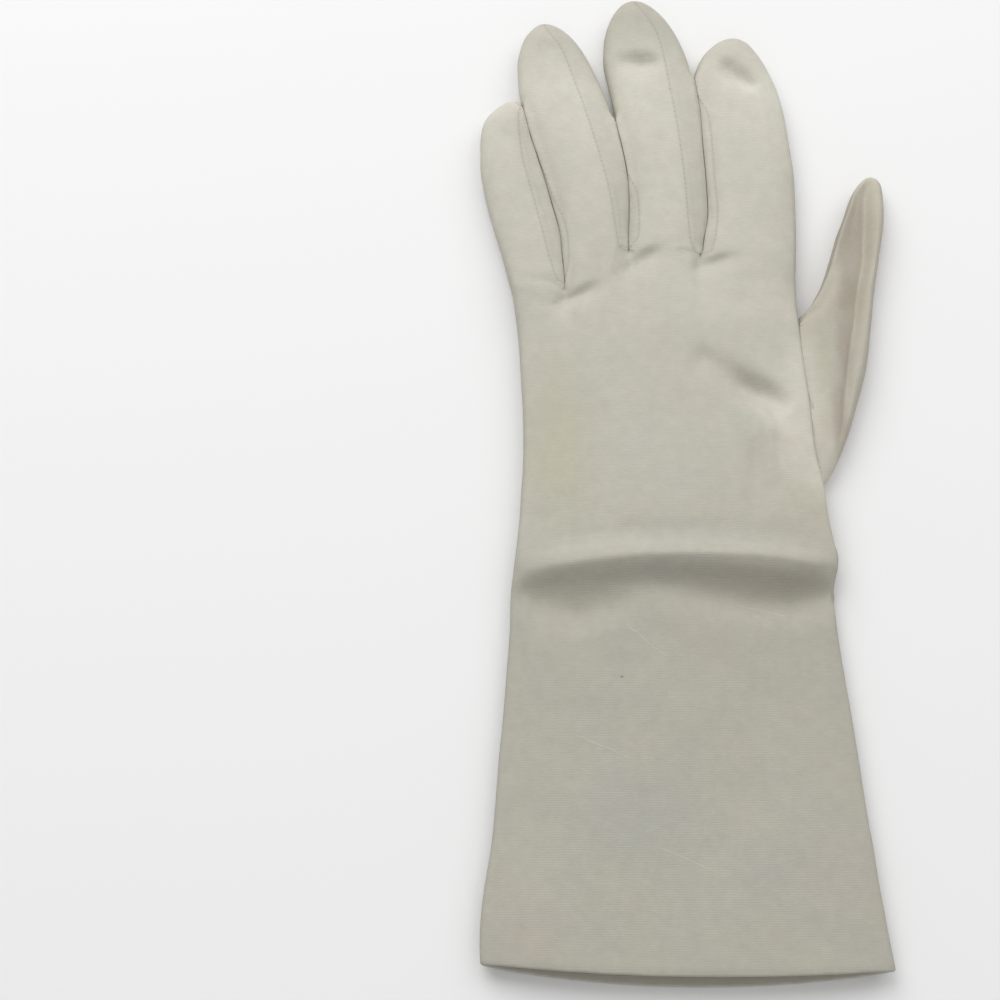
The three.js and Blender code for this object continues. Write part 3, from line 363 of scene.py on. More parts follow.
# Dents and folds pressed into the back, each along a line of points with its depth there. The
# cloth falls steeply on the left of the line, as one goes along it, and comes up softly on its
# right. A ridge has a depth below zero.
FOLDS = (
    fold("little fingertip", 1.2, 2.2, (-49.6, 97.9, 0.15), (-47.4, 96.6, 0.45)),
    fold("ring fingertip", 1.2, 2.2, (-36.4, 126.6, 0.15), (-34.4, 124.6, 0.5)),
    fold(
        "middle fingertip", 2.0, 3.4,
        (-15.4, 120.6, 0.5), (-11.3, 120.5, 2.0), (-8.0, 120.1, 2.6), (-4.6, 119.7, 1.8),
        (-2.4, 119.1, 0.1),
    ),
    fold(
        "index fingertip", 1.8, 3.4,
        (15.0, 120.8, 0.3), (17.4, 118.8, 2.0), (20.6, 115.9, 2.8), (23.4, 113.2, 2.5),
        (25.4, 111.2, 0.3),
    ),
    fold(
        "beside the little finger's crotch", 1.4, 3.0,
        (-32.0, 46.0, 0.9), (-28.0, 47.2, 1.8), (-24.2, 49.0, 1.6), (-20.6, 50.8, 0.3),
    ),
    fold("up to the little finger's crotch", 1.0, 1.4, (-21.2, 53.4, 0.3), (-21.0, 58.4, 0.25)),
    fold(
        "beside the ring finger's crotch", 1.4, 2.8,
        (-12.3, 56.6, 0.7), (-8.8, 58.6, 1.5), (-6.0, 60.1, 1.5), (-3.2, 61.8, 0.2),
    ),
    fold("below the ring finger's crotch", 1.6, 3.2, (-19.4, 51.6, 0.2), (-12.6, 56.2, 0.5)),
    fold(
        "beside the middle finger's crotch", 1.3, 2.8,
        (7.4, 56.8, 1.0), (11.4, 57.6, 1.5), (14.6, 58.3, 1.2), (18.0, 59.0, 0.2),
    ),
    fold(
        "across the hand", 2.8, 4.6,
        (4.0, 30.3, 0.2), (7.6, 28.2, 1.2), (11.6, 26.2, 1.1), (15.2, 23.6, 2.0), (18.8, 20.8, 3.6),
        (23.2, 18.4, 3.9), (27.2, 16.0, 2.9), (29.8, 13.9, 1.4), (31.4, 12.2, 0.2),
    ),
    fold("ridge below it", 1.6, 2.6, (24.2, 13.0, -0.7), (25.4, 6.0, -1.1), (25.7, -6.0, -0.2)),
    fold("valley below it", 2.6, 2.0, (21.6, 12.0, 0.6), (21.5, -2.0, 1.3), (20.6, -17.0, 0.3)),
    fold("short fold below it", 1.6, 1.6, (28.2, 13.2, 0.5), (30.1, 7.6, 0.1)),
    fold("along the middle finger", 2.2, 2.2, (-3.8, 94.6, 0.3), (-1.3, 75.9, 0.3)),
    fold("along the index finger", 2.2, 2.2, (18.2, 104.1, 0.3), (18.8, 75.9, 0.3)),
    fold(
        "allowance of the side seam", 0.9, 1.1,
        (-42.1, -40.5, -0.3), (-46.8, -94.9, -0.25), (-48.2, -110.6, -0.1),
    ),
    fold(
        "above the wrist", 2.6, 4.0,
        (-34.0, -23.5, 0.1), (-12.0, -21.0, 0.35), (14.0, -20.8, 0.35), (36.0, -24.0, 0.1),
    ),
    fold(
        "crest of the wrist", 1.5, 1.4,
        (-42.7, -32.4, -0.2), (-28.0, -30.6, -0.4), (-11.4, -28.9, -0.5), (6.0, -28.5, -0.5),
        (22.0, -29.0, -0.5), (38.0, -31.5, -0.3),
    ),
    fold(
        "lower crest at the left", 2.6, 2.6,
        (-44.0, -32.0, 0.4), (-34.0, -29.6, 0.3), (-24.0, -28.0, 0.1),
    ),
    fold(
        "below the wrist at the left", 6.4, 5.4,
        (-44.0, -37.0, 1.6), (-38.0, -40.2, 3.0), (-29.0, -43.4, 3.2), (-18.0, -40.0, 2.2),
        (-9.0, -37.5, 0.6),
    ),
    fold(
        "below the wrist at the right", 5.6, 4.4,
        (-12.0, -34.5, 0.8), (-3.0, -36.0, 2.2), (8.0, -38.5, 3.0), (20.0, -40.6, 3.9),
        (30.0, -40.8, 4.2), (38.0, -39.0, 3.2), (44.0, -36.5, 1.4),
    ),
)

# How uneven the cloth lies: the size of its swells and how high they are.
SWELLS = table("size height seed", (26.0, 0.30, 3.1), (11.0, 0.14, 17.7), (5.0, 0.05, 41.3))
SWELL_FROM = 1.2  # cloth lower than this has none
SWELL_FULL = 4.2  # and above this it has them fully
FOLD_FACING = 0.5  # cloth that faces up at least this much takes the folds fully

# The turned edge of a seam and of the hem, from the outside of the wall to its inside: how far
# into the piece, and what share of the wall deep.
ROLL_COLUMNS = "inset depth"
SEAM_ROLL = table(
    ROLL_COLUMNS, (0.010, 0.01), (0.008, 0.05), (0.008, 0.20), (0.008, 0.50), (0.008, 0.75),
)
HEM_ROLL = table(ROLL_COLUMNS, (0.0, 0.0), (-0.35, 0.10), (-0.6, 0.35), (-0.6, 0.65), (-0.35, 0.90))
SEAM_SINK = 0.03  # how deep a seam draws the cloth in
SEAM_SINK_WIDTH = 0.7
NO_SEAM = 99.0  # distance to a seam on a piece that has none
ROOM_SHARE = 0.4  # share of the nearest cell that a turned edge may take
MITRE_LIMIT = 0.3  # keeps the turned edge short where a rim bends sharply
RESTING_HEIGHT = 0.9  # cloth lower than this lies on the floor, with its outside down
NORMAL_ROUNDS = 4  # how often the directions of the wall's thickness are evened out
TIP_THINNING = 5.0  # length over which the wall thins toward a closed tip
THIN_SHARE = 0.25  # and what is left of it there

# Where two fingers lie side by side, their sides swell until they touch.
TOUCH_END = 3.0  # length below their tips over which they part
TOUCH_START = 0.6  # and just above a crotch
TOUCH_FULL = 2.2  # sides this near to each other close up fully
TOUCH_NONE = 4.2  # and sides this far apart stay as they are
TOUCH_GAP = 0.06  # what is left between them
TOUCH_FACING = 0.1  # cloth that faces less level than this stays as it is

# The thumb's top lies against the hand's folded edge, where it comes up beside it.
MEET_FROM = -14.0
MEET_TO = 41.0
MEET_START = 3.0  # length over which it comes to lie there, at both ends
MEET_FULL = 2.3  # cloth this near to the hand is drawn to it fully
MEET_NONE = 4.2
MEET_GAP = 0.02


def lerp(a, b, t):
    """From a to b by a share of the way."""
    return a + (b - a) * t


def clamp01(t):
    """The nearest number from 0 to 1."""
    return min(1.0, max(0.0, t))


def ease(t):
    """A smooth rise from 0 to 1."""
    s = clamp01(t)
    return s * s * (3 - 2 * s)


def signed_power(value, power):
    """A power of the size of a number, with its sign."""
    return math.copysign(abs(value) ** power, value)


class Curve:
    """A smooth curve through one column of a table that never swings past its rows."""

    def __init__(self, rows, key, value):
        pairs = sorted((row[key], row[value]) for row in rows)
        self.at = [float(pair[0]) for pair in pairs]
        self.out = [float(pair[1]) for pair in pairs]
        count = len(pairs)
        self.rise = [
            (self.out[i + 1] - self.out[i]) / (self.at[i + 1] - self.at[i]) for i in range(count - 1)
        ]
        self.slope = [self.rise[0]] * count
        self.slope[-1] = self.rise[-1]
        for i in range(1, count - 1):
            before, after = self.rise[i - 1], self.rise[i]
            self.slope[i] = 2 * before * after / (before + after) if before * after > 0 else 0.0

    def __call__(self, x):
        if x <= self.at[0]:
            return self.out[0]
        if x >= self.at[-1]:
            return self.out[-1]
        i = 0
        while x > self.at[i + 1]:
            i += 1
        width = self.at[i + 1] - self.at[i]
        t = (x - self.at[i]) / width
        start = (1 - t) * (self.slope[i] - self.rise[i])
        end = t * (self.slope[i + 1] - self.rise[i])
        return lerp(self.out[i], self.out[i + 1], t) + t * (1 - t) * width * (start - end)


def curves(rows, key, names):
    """A smooth curve for each named column of a table."""
    return {name: Curve(rows, key, name) for name in names.split()}


def share_across(x, left, right):
    """Where x lies between two sides, from -1 at the left one to 1 at the right one."""
    return (x - (left + right) / 2) / ((right - left) / 2)


def halfway(values, start, cells):
    """The value in the middle of a run of cells, in each row."""
    return (values[..., start + cells // 2] + values[..., start + (cells + 1) // 2]) / 2


def angle_on_back(share, power):
    """The angle on a section's back at which a share of its half width is reached."""
    return math.acos(max(-1.0, min(1.0, signed_power(share, power / 2))))


def angle_under(share):
    """The same on its underside."""
    return -math.acos(max(-1.0, min(1.0, signed_power(share, UNDER_POWER / 2))))


def section_point(left, right, y, angle, power, edge, top, base):
    """One point of a rounded section, between the base below and the top above."""
    half = (right - left) / 2
    over = math.sin(angle) >= 0
    share = signed_power(math.cos(angle), 2 / (power if over else UNDER_POWER))
    x = (left + right) / 2 + half * share
    away = abs(math.sin(angle))
    level = edge(share)
    if over:
        return np.array([x, y, level + (top(share) - level) * away ** (2 / power)])
    drop = min(1.0, UNDER_FLAT * away ** (2 / UNDER_POWER))
    return np.array([x, y, level - (level - base(x)) * drop])


class Finger:
    """One finger's outline, seams and levels."""

    def __init__(self, index, sizes):
        self.index = index
        self.tip = sizes["tip"]
        self.tilt = sizes["tilt"]
        self.at = curves(sizes["sections"], "from_tip", "left right seam_left seam_right top")
        self.has_left_strip = index > 0
        self.has_right_strip = index < len(FINGERS) - 1
        self.left_crotch = CROTCHES[index - 1]["y"] if self.has_left_strip else LEFT_SHOULDER
        self.right_crotch = CROTCHES[index]["y"] if self.has_right_strip else RIGHT_SHOULDER
        self.last_full = sizes["last_full_row"]

    def levels(self, crotch):
        """The heights of the cage's rows along one side, from its crotch to the tip."""
        from_tip = list(TIP_LEVELS)
        steps = max(1, round((self.last_full - from_tip[-1]) / LEVEL_STEP))
        start = from_tip[-1]
        from_tip += [lerp(start, self.last_full, (i + 1) / steps) for i in range(steps)]
        full = [self.tip - distance for distance in reversed(from_tip)]
        return [lerp(crotch, full[0], share) for share in SLANTED_LEVELS] + full

    def power(self, y):
        """The roundness of the back, which flattens toward the hand."""
        crotch = max(self.left_crotch, self.right_crotch)
        return lerp(HAND_POWER, FINGER_POWER, ease((y - crotch) / CROTCH_BLEND))

    def point(self, y, angle):
        """One point of the finger's section."""
        from_tip = self.tip - y
        rest = 1 - min(from_tip, TIP_ROUNDING) / TIP_ROUNDING
        rounded = math.sqrt(max(0.0, 1 - rest * rest))
        top = lerp(EDGE_HEIGHT, self.at["top"](from_tip), rounded)
        point = section_point(
            self.at["left"](from_tip), self.at["right"](from_tip), y, angle, self.power(y),
            edge=lambda share: EDGE_HEIGHT,
            top=lambda share: top,
            base=lambda x: lerp(EDGE_HEIGHT, 0.0, rounded),
        )
        point[1] -= self.bow(from_tip, point[0])
        return point

    def bow(self, from_tip, x):
        """How far the rows at the tip bend back at this x."""
        left = self.at["left"](from_tip)
        right = self.at["right"](from_tip)
        share = share_across(x, left, right)
        return TIP_BOW * share * share * math.exp(-from_tip / TIP_BOW_REACH)

    def seams(self, y):
        """The angles of the four seams round the section."""
        from_tip = self.tip - y
        left = self.at["left"](from_tip)
        right = self.at["right"](from_tip)
        power = self.power(y)

        def share(x):
            exact = share_across(x, left, right)
            return math.copysign(1.0, exact) if abs(exact) > SNAP_SHARE else exact

        def over_crotch(crotch):
            return ease((y - crotch + CROTCH_LEAD) / CROTCH_PARTING)

        along = ease((from_tip - PALM_INSET_STARTS) / (PALM_INSET_FULL - PALM_INSET_STARTS))
        left_inset = PALM_INSET * over_crotch(self.left_crotch) * along
        right_inset = min((right - left) / 2, PALM_INSET * over_crotch(self.right_crotch))
        seams = {
            "back_left": math.pi, "back_right": FOLD_START,
            "palm_right": -FOLD_START, "palm_left": -math.pi,
        }
        if self.has_left_strip:
            seams["back_left"] = angle_on_back(share(self.at["seam_left"](from_tip)), power)
            seams["palm_left"] = angle_under(share(left + left_inset))
        if self.has_right_strip:
            seams["back_right"] = angle_on_back(share(self.at["seam_right"](from_tip)), power)
            seams["palm_right"] = angle_under(share(right - right_inset))
        return seams

    def run(self, part, y):
        """The angles between which one part of the section lies."""
        seams = self.seams(y)
        if part == "left_strip":
            return seams["palm_left"] + 2 * math.pi, seams["back_left"]
        if part == "back":
            return seams["back_left"], seams["back_right"]
        if part == "palm":
            return seams["palm_right"], seams["palm_left"]
        return seams["back_right"], seams["palm_right"]

    def parts(self):
        """The parts round the section: name, region, cells, and the sides between which they run."""
        rows = [("back", BACK, BACK_CELLS, (0, 1))]
        if self.has_left_strip:
            rows.insert(0, ("left_strip", STRIPS[self.index - 1], STRIP_CELLS, (0, 0)))
        if self.has_right_strip:
            rows.append(("right_strip", STRIPS[self.index], STRIP_CELLS, (1, 1)))
        else:
            rows.append(("fold", FOLD, FOLD_CELLS, (1, 1)))
        return [*rows, ("palm", PALM, PALM_CELLS, (1, 0))]


class Cage:
    """A coarse surface whose patches share their corners."""

    def __init__(self):
        self.index = {}
        self.points = []
        self.faces = []
        self.regions = []
        self.maps = []

    def corner(self, key, place):
        """The number of a corner, which is placed when it is first asked for."""
        if key not in self.index:
            point = place()
            self.index[key] = len(self.points)
            self.points.append(point)
        return self.index[key]

    def across(self, grid):
        """The length along each row of a grid, from its first column."""
        points = np.array(self.points)[np.array(grid)]
        steps = np.linalg.norm(np.diff(points, axis=1), axis=2)
        return np.concatenate([np.zeros((len(grid), 1)), np.cumsum(steps, axis=1)], axis=1)

    def patch(self, grid, u, v, region, skip=lambda row, column: False):
        """Add the faces of a grid of corners, with their place on the flat cloth."""
        for row in range(len(grid) - 1):
            for column in range(len(grid[0]) - 1):
                if skip(row, column):
                    continue
                places = [(row, column), (row, column + 1), (row + 1, column + 1), (row + 1, column)]
                face, cloth = [], []
                for r, c in places:
                    if grid[r][c] not in face:
                        face.append(grid[r][c])
                        cloth.append((u[r][c], v[r][c]))
                if len(face) > 2:
                    self.faces.append(face)
                    self.maps.append(cloth)
                    self.regions.append(region(column) if callable(region) else region)


HAND_CURVES = curves(HAND, "y", "left right top lift bow")
HOLE_CURVES = curves(HOLE, "y", "inner outer")

# The columns of the hand's cage: over the back, round the folded edge, and under the palm.
BACK_COLUMNS = len(FINGERS) * BACK_CELLS
FOLD_COLUMNS = BACK_COLUMNS + FOLD_CELLS
ALL_COLUMNS = FOLD_COLUMNS + len(FINGERS) * PALM_CELLS
HOLE_OUTER = FOLD_COLUMNS + 2  # the thumb's hole lies between these two
HOLE_INNER = FOLD_COLUMNS + 6
TOP_ROW = len(HAND_ROWS)


def hand_point(y, angle):
    """One point of the hand's or the cuff's section."""
    lift = HAND_CURVES["lift"](y)
    crown = HAND_CURVES["top"](y)
    left = HAND_CURVES["left"](y)
    right = HAND_CURVES["right"](y)
    inner = HOLE_CURVES["inner"](y)
    outer = HOLE_CURVES["outer"](y)
    right_edge = lift + (crown - lift) * (EDGE_HEIGHT / crown)
    point = section_point(
        left, right, y, angle, HAND_POWER,
        edge=lambda share: lerp(EDGE_HEIGHT, right_edge, ease((share + 1) / 2)),
        top=lambda share: crown + lift * LIFT_SHARE * ease((share + 1) / 2),
        base=lambda x: lift * ease((x - inner) / (outer - inner)),
    )
    share = share_across(point[0], left, right)
    point[1] -= HAND_CURVES["bow"](y) * share * share
    return point


def mouth_y(mouth, share):
    """Where one side of the mouth's edge runs, across the cuff."""
    ends = lerp(mouth["left"], mouth["right"], (share + 1) / 2)
    return ends + (mouth["middle"] - (mouth["left"] + mouth["right"]) / 2) * (1 - share * share)


class GloveCage(Cage):
    """The cage of the panel and the fourchettes, joined at their seams."""

    def __init__(self):
        super().__init__()
        self.fingers = [Finger(i, sizes) for i, sizes in enumerate(FINGERS)]
        left = HAND_CURVES["left"](RIGHT_SHOULDER)
        right = HAND_CURVES["right"](RIGHT_SHOULDER)
        shares = [share_across(crotch["x"], left, right) for crotch in CROTCHES]
        self.marks = [math.pi, *(angle_on_back(share, HAND_POWER) for share in shares), FOLD_START]
        self.add_hand()
        for finger in self.fingers:
            self.add_finger(finger)

    def web_corner(self, crotch, share):
        """A corner of the web between two fingers, from the back's seam down to the palm's."""
        x, y = CROTCHES[crotch]["x"], CROTCHES[crotch]["y"]
        bulge = CROTCH_WEB * math.sqrt(max(0.0, 1 - (2 * share - 1) ** 2))
        z = lerp(CROTCH_TOP, CROTCH_UNDER, share)
        return self.corner(("web", crotch, round(share, 4)), lambda: np.array([x, y + bulge, z]))

    def tip_corner(self, finger, part, share):
        """The last corners of a finger lie on one line, where back and palm are sewn together."""
        left = finger.at["left"](0)
        right = finger.at["right"](0)
        seam = finger.at["seam_right"](0) if finger.has_right_strip else lerp(left, right, TIP_FOLD_SHARE)
        x = left
        if part == "back":
            x = lerp(left, seam, share)
        if part == "palm":
            x = lerp(seam, left, share)
        if part in ("right_strip", "fold"):
            x = lerp(seam, right, 1 - abs(2 * share - 1))
        key = ("tip", finger.index, round(x, 3))
        return self.corner(key, lambda: np.array([x, finger.tip - finger.bow(0, x), EDGE_HEIGHT]))

    def finger_corner(self, finger, level, part, share, side):
        """A corner of one part of a finger's section, at a share of the way round it."""
        across = lerp(side[0], side[1], share)
        if level == 0:
            if part == "left_strip":
                return self.web_corner(finger.index - 1, 1 - share)
            if part == "right_strip":
                return self.web_corner(finger.index, share)
            on_back = 0 if part == "back" else 1
            if across == 0 and finger.has_left_strip:
                return self.web_corner(finger.index - 1, on_back)
            if across == 1 and finger.has_right_strip:
                return self.web_corner(finger.index, on_back)
        y = lerp(finger.levels(finger.left_crotch)[level], finger.levels(finger.right_crotch)[level], across)
        if abs(y - finger.tip) < SAME:
            return self.tip_corner(finger, part, share)
        start, end = finger.run(part, y)
        angle = lerp(start, end, share)
        turned = angle - 2 * math.pi if angle > math.pi else angle
        at_edge = math.pi - abs(turned) < SAME
        place = "edge" if at_edge else round(turned, 6)
        key = ("finger", finger.index, level, place, round(across, 4))
        return self.corner(key, lambda: finger.point(y, turned))

    def add_finger(self, finger):
        """Add a finger's parts, one after the other round its section."""
        count = len(finger.levels(0.0))
        end = None
        for part, region, cells, side in finger.parts():
            grid = [
                [self.finger_corner(finger, level, part, i / cells, side) for i in range(cells + 1)]
                for level in range(count)
            ]
            along = self.across(grid)
            middle = halfway(along, 0, cells)
            if part == "fold" or (part == "palm" and not finger.has_right_strip):
                base = end
            elif part == "back":
                base = self.top_map[finger.index] - middle
            elif part == "palm":
                base = self.palm_map[finger.index] - middle
            else:
                base = -middle
            u = along + np.reshape(base, (-1, 1))
            end = u[:, -1]
            self.patch(grid, u, self.finger_v(finger, grid, part), region)

    def finger_v(self, finger, grid, part):
        """The knit's rows turn square to the finger above its crotch."""
        points = np.array(self.points)[np.array(grid)]
        if part in ("left_strip", "right_strip"):
            return points[:, :, 1]
        crotch = max(finger.left_crotch, finger.right_crotch)
        rise = np.clip((points[:, :, 1] - crotch) / CROTCH_BLEND, 0, 1)
        turned = rise * rise * (3 - 2 * rise)
        middle = points[:, :, 0].mean(axis=1, keepdims=True)
        return points[:, :, 1] - finger.tilt * turned * (points[:, :, 0] - middle)

    def top_row_corner(self, column):
        """The corners of the hand's top row are the lowest ones of the fingers."""
        last = len(self.fingers) - 1
        if column <= BACK_COLUMNS:
            group = min(column // BACK_CELLS, last)
            return self.finger_corner(self.fingers[group], 0, "back", column / BACK_CELLS - group, (0, 1))
        if column <= FOLD_COLUMNS:
            share = (column - BACK_COLUMNS) / FOLD_CELLS
            return self.finger_corner(self.fingers[last], 0, "fold", share, (1, 1))
        across = (column - FOLD_COLUMNS) / PALM_CELLS
        group = min(int(across), last)
        return self.finger_corner(self.fingers[last - group], 0, "palm", across - group, (1, 0))

    def column_angle(self, column, y):
        """The angle of a column of the hand: from the left edge over the back and under the palm."""
        if column <= BACK_COLUMNS:
            group = min(column // BACK_CELLS, len(self.fingers) - 1)
            return lerp(self.marks[group], self.marks[group + 1], column / BACK_CELLS - group)
        if column <= FOLD_COLUMNS:
            return lerp(FOLD_START, -FOLD_START, (column - BACK_COLUMNS) / FOLD_CELLS)
        left = HAND_CURVES["left"](y)
        right = HAND_CURVES["right"](y)
        inner = HOLE_CURVES["inner"](y)
        outer = HOLE_CURVES["outer"](y)

        def under(x):
            return angle_under(share_across(x, left, right))

        if column < HOLE_OUTER:
            return lerp(-FOLD_START, under(outer), (column - FOLD_COLUMNS) / (HOLE_OUTER - FOLD_COLUMNS))
        if column <= HOLE_INNER:
            return under(lerp(outer, inner, (column - HOLE_OUTER) / (HOLE_INNER - HOLE_OUTER)))
        return lerp(under(inner), -math.pi, (column - HOLE_INNER) / (ALL_COLUMNS - HOLE_INNER))

    def hand_place(self, row, column):
        """A point of the hand or cuff, which follows the fingers' shapes near the top row."""
        y = HAND_ROWS[row]["y"]
        top = self.points[self.top_row_corner(column)]
        y += (top[1] - RIGHT_SHOULDER) * HAND_ROWS[row]["bend"]
        angle = self.column_angle(column, y)
        point = hand_point(y, angle)
        if row == 0:
            share = share_across(point[0], HAND_CURVES["left"](y), HAND_CURVES["right"](y))
            under = clamp01(0.5 - math.sin(angle) / (2 * math.sin(FOLD_START)))
            point[1] = lerp(mouth_y(MOUTH_BACK, share), mouth_y(MOUTH_PALM, share), under)
        reach = math.exp(-max(0.0, top[1] - y) / SCALLOP_REACH)
        smooth = hand_point(RIGHT_SHOULDER, self.column_angle(column, RIGHT_SHOULDER))
        if column < BACK_COLUMNS:
            point[2] += (top[2] - smooth[2]) * reach
        if column <= FOLD_COLUMNS:
            point[0] += (top[0] - smooth[0]) * reach
        return point

    def hand_corner(self, row, column):
        if row == TOP_ROW:
            return self.top_row_corner(column)
        place = "edge" if column in (0, ALL_COLUMNS) else column
        return self.corner(("hand", row, place), lambda: self.hand_place(row, column))

    def add_hand(self):
        """Add the hand and cuff in one piece, open at the mouth and at the thumb's hole."""
        grid = [
            [self.hand_corner(row, column) for column in range(ALL_COLUMNS + 1)]
            for row in range(TOP_ROW + 1)
        ]
        along = self.across(grid)
        centre = BACK_COLUMNS // 2
        u = along - along[:, centre:centre + 1]
        v = np.array(self.points)[np.array(grid)][:, :, 1]

        def region(column):
            if column < BACK_COLUMNS:
                return BACK
            return FOLD if column < FOLD_COLUMNS else PALM

        def in_hole(row, column):
            if row + 1 >= TOP_ROW:
                return False
            inside = HAND_ROWS[row]["y"] >= HOLE_FROM and HAND_ROWS[row + 1]["y"] <= HOLE_TO
            return inside and HOLE_OUTER <= column < HOLE_INNER

        self.patch(grid, u, v, region, in_hole)
        top = u[-1]
        last = len(self.fingers) - 1
        self.top_map = []
        self.palm_map = []
        for index in range(len(self.fingers)):
            self.top_map.append(halfway(top, index * BACK_CELLS, BACK_CELLS))
            start = FOLD_COLUMNS + (last - index) * PALM_CELLS
            self.palm_map.append(halfway(top, start, PALM_CELLS))


class ThumbCage(Cage):
    """The thumb: its top runs from the hole's outer edge to its right edge, and its underside
    back to the hole's inner edge. Clear of the hand the two are joined at the left."""

    TOP_STOPS = 10  # cells across the top
    UNDER_STOPS = 5  # from the right edge along the underside
    LEFT_STOPS = 2  # and up the left edge, where that is free
    FLAT_STOPS = (0, 1 / 3, 2 / 3, 1)  # shares of the way across the flat underside

    def __init__(self, glove):
        super().__init__()
        self.glove = glove
        self.round = self.TOP_STOPS + self.UNDER_STOPS + self.LEFT_STOPS
        self.base = curves(THUMB_BASE, "y", "right top crease depth soft")
        self.free = curves(THUMB_FREE, "y", "left right top crease depth soft")
        attached = [row["y"] for row in HAND_ROWS if HOLE_FROM <= row["y"] <= HOLE_TO]
        rows = [self.row(y, True) for y in attached] + [self.row(y, False) for y in THUMB_FREE_ROWS]
        self.add_surface(rows, len(attached))

    @staticmethod
    def top_height(sizes, x, shoulder, start, rise_width):
        """Height of the top at x, which rounds off at both edges and sinks along the crease."""
        rise = 1 - (1 - clamp01((x - shoulder) / rise_width)) ** THUMB_LEFT_POWER
        fall = math.sqrt(max(0.0, 1 - clamp01(1 - (sizes["right"] - x) / THUMB_SIDE) ** THUMB_RIGHT_POWER))
        if x < sizes["crease"]:
            slope = clamp01(1 - (sizes["crease"] - x) / sizes["soft"])
        else:
            slope = math.exp(-(((x - sizes["crease"]) / CREASE_STEEP) ** 2))
        return lerp(THUMB_EDGE, lerp(start, sizes["top"], rise), fall) - sizes["depth"] * slope

    @staticmethod
    def top_places(sizes, attached, start, shoulder):
        """Where the lines of the cage run along the top, from the left to the right."""
        right = sizes["right"]
        crease = sizes["crease"]
        room = min(crease - shoulder, right - crease)
        flank = min(CREASE_FLANK if sizes["depth"] > 0 else CREASE_FLANK / 2, CREASE_ROOM * room)
        if attached:
            close = clamp01((crease - shoulder) / THUMB_RISE_ROOM)
            beside = [lerp(start, shoulder, THUMB_STOPS["under_hand"])]
            beside += [shoulder + stop * close for stop in THUMB_RISE_STOPS]
        else:
            names = ("beside_left", "left", "left_top")
            beside = [lerp(shoulder, right, THUMB_STOPS[name]) for name in names]
        return [
            start,
            *beside,
            lerp(shoulder, crease, THUMB_STOPS["before_crease"]),
            crease - flank,
            crease,
            crease + flank,
            lerp(crease, right, THUMB_STOPS["after_crease"]),
            lerp(crease, right, THUMB_STOPS["beside_right"]),
            right,
        ]

    def row(self, y, attached):
        """The points round the thumb at one height."""
        sizes = {name: value(y) for name, value in (self.base if attached else self.free).items()}
        right = sizes["right"]
        if attached:
            hand_row = next(i for i, row in enumerate(HAND_ROWS) if row["y"] == y)
            outer = self.glove.points[self.glove.hand_corner(hand_row, HOLE_OUTER)]
            inner = self.glove.points[self.glove.hand_corner(hand_row, HOLE_INNER)]
            closing = 1.0
            beside_hand = HAND_CURVES["right"](y) - THUMB_SHOULDER_INSET
            shoulder = min(beside_hand, lerp(outer[0], right, THUMB_SHOULDER_SHARE))
            low_top = HAND_CURVES["lift"](y) - THUMB_UNDER_HAND
            rise_width = THUMB_RISE
            flat_to = inner[0]
        else:
            outer = inner = np.array([sizes["left"], y, THUMB_EDGE])
            closing = ease((sizes["top"] - THUMB_EDGE) / THUMB_CLOSING)
            shoulder = sizes["left"]
            low_top = THUMB_EDGE
            rise_width = THUMB_LEFT_SIDE
            flat_to = sizes["left"] + THUMB_LEFT_INSET * closing
        if y == HOLE_FROM:
            count = self.TOP_STOPS + self.UNDER_STOPS
            return [lerp(outer, inner, i / count) for i in range(count + 1)]

        def place_y(x):
            return lerp(inner[1], y, clamp01((x - inner[0]) / THUMB_SKEW)) if attached else y

        points = []
        for i, x in enumerate(self.top_places(sizes, attached, outer[0], shoulder)):
            under_hand = i < 2 and attached
            height = low_top if under_hand else self.top_height(sizes, x, shoulder, low_top, rise_width)
            points.append(np.array([x, outer[1] if i == 0 else place_y(x), height]))
        flat_from = right - THUMB_FLAT_INSET * closing
        low_right = lerp(right, flat_from, THUMB_STOPS["low_right"])
        low = lerp(THUMB_EDGE, THUMB_EDGE * THUMB_LOW_EDGE, closing)
        points.append(np.array([low_right, place_y(low_right), low]))
        for share in self.FLAT_STOPS:
            x = lerp(flat_from, flat_to, share)
            points.append(np.array([x, place_y(x), lerp(THUMB_EDGE, 0.0, closing)]))
        if not attached:
            points.append(np.array([sizes["left"] + THUMB_LEFT_LOW * closing, y, low]))
        return points

    def add_surface(self, rows, attached):
        """Join the rows, open at the left where the thumb is attached, and close the tip."""
        layer_end = self.TOP_STOPS + self.UNDER_STOPS

        def corner(row, column):
            points = rows[row]
            if row < attached and column > layer_end:
                share = (column - layer_end) / self.LEFT_STOPS
                column = 0 if column == self.round else column
                return self.corner((row, column), lambda: lerp(points[-1], points[0], share))
            at = 0 if column == self.round else column
            return self.corner((row, at), lambda: points[at])

        def add(start, stop, columns):
            grid = [[corner(row, column) for column in range(columns + 1)] for row in range(start, stop)]
            along = self.across(grid)
            points = np.array(self.points)[np.array(grid)]
            middle = self.TOP_STOPS // 2
            u = along - along[:, middle:middle + 1]
            v = points[:, :, 1] - THUMB_TILT * (points[:, :, 0] - points[:, middle:middle + 1, 0])
            self.patch(grid, u, v, THUMB)

        add(0, attached, layer_end)
        add(attached - 1, len(rows), self.round)
        last = len(rows) - 1
        half = self.round // 2
        upper = [corner(last, column) for column in range(half + 1)]
        lower = [corner(last, self.round - column) for column in range(half + 1)]
        grid = [upper, lower]
        u = self.across([upper])[0]
        v = np.array(self.points)[np.array(grid)][:, :, 1]
        self.patch(grid, [u, u], v, THUMB)


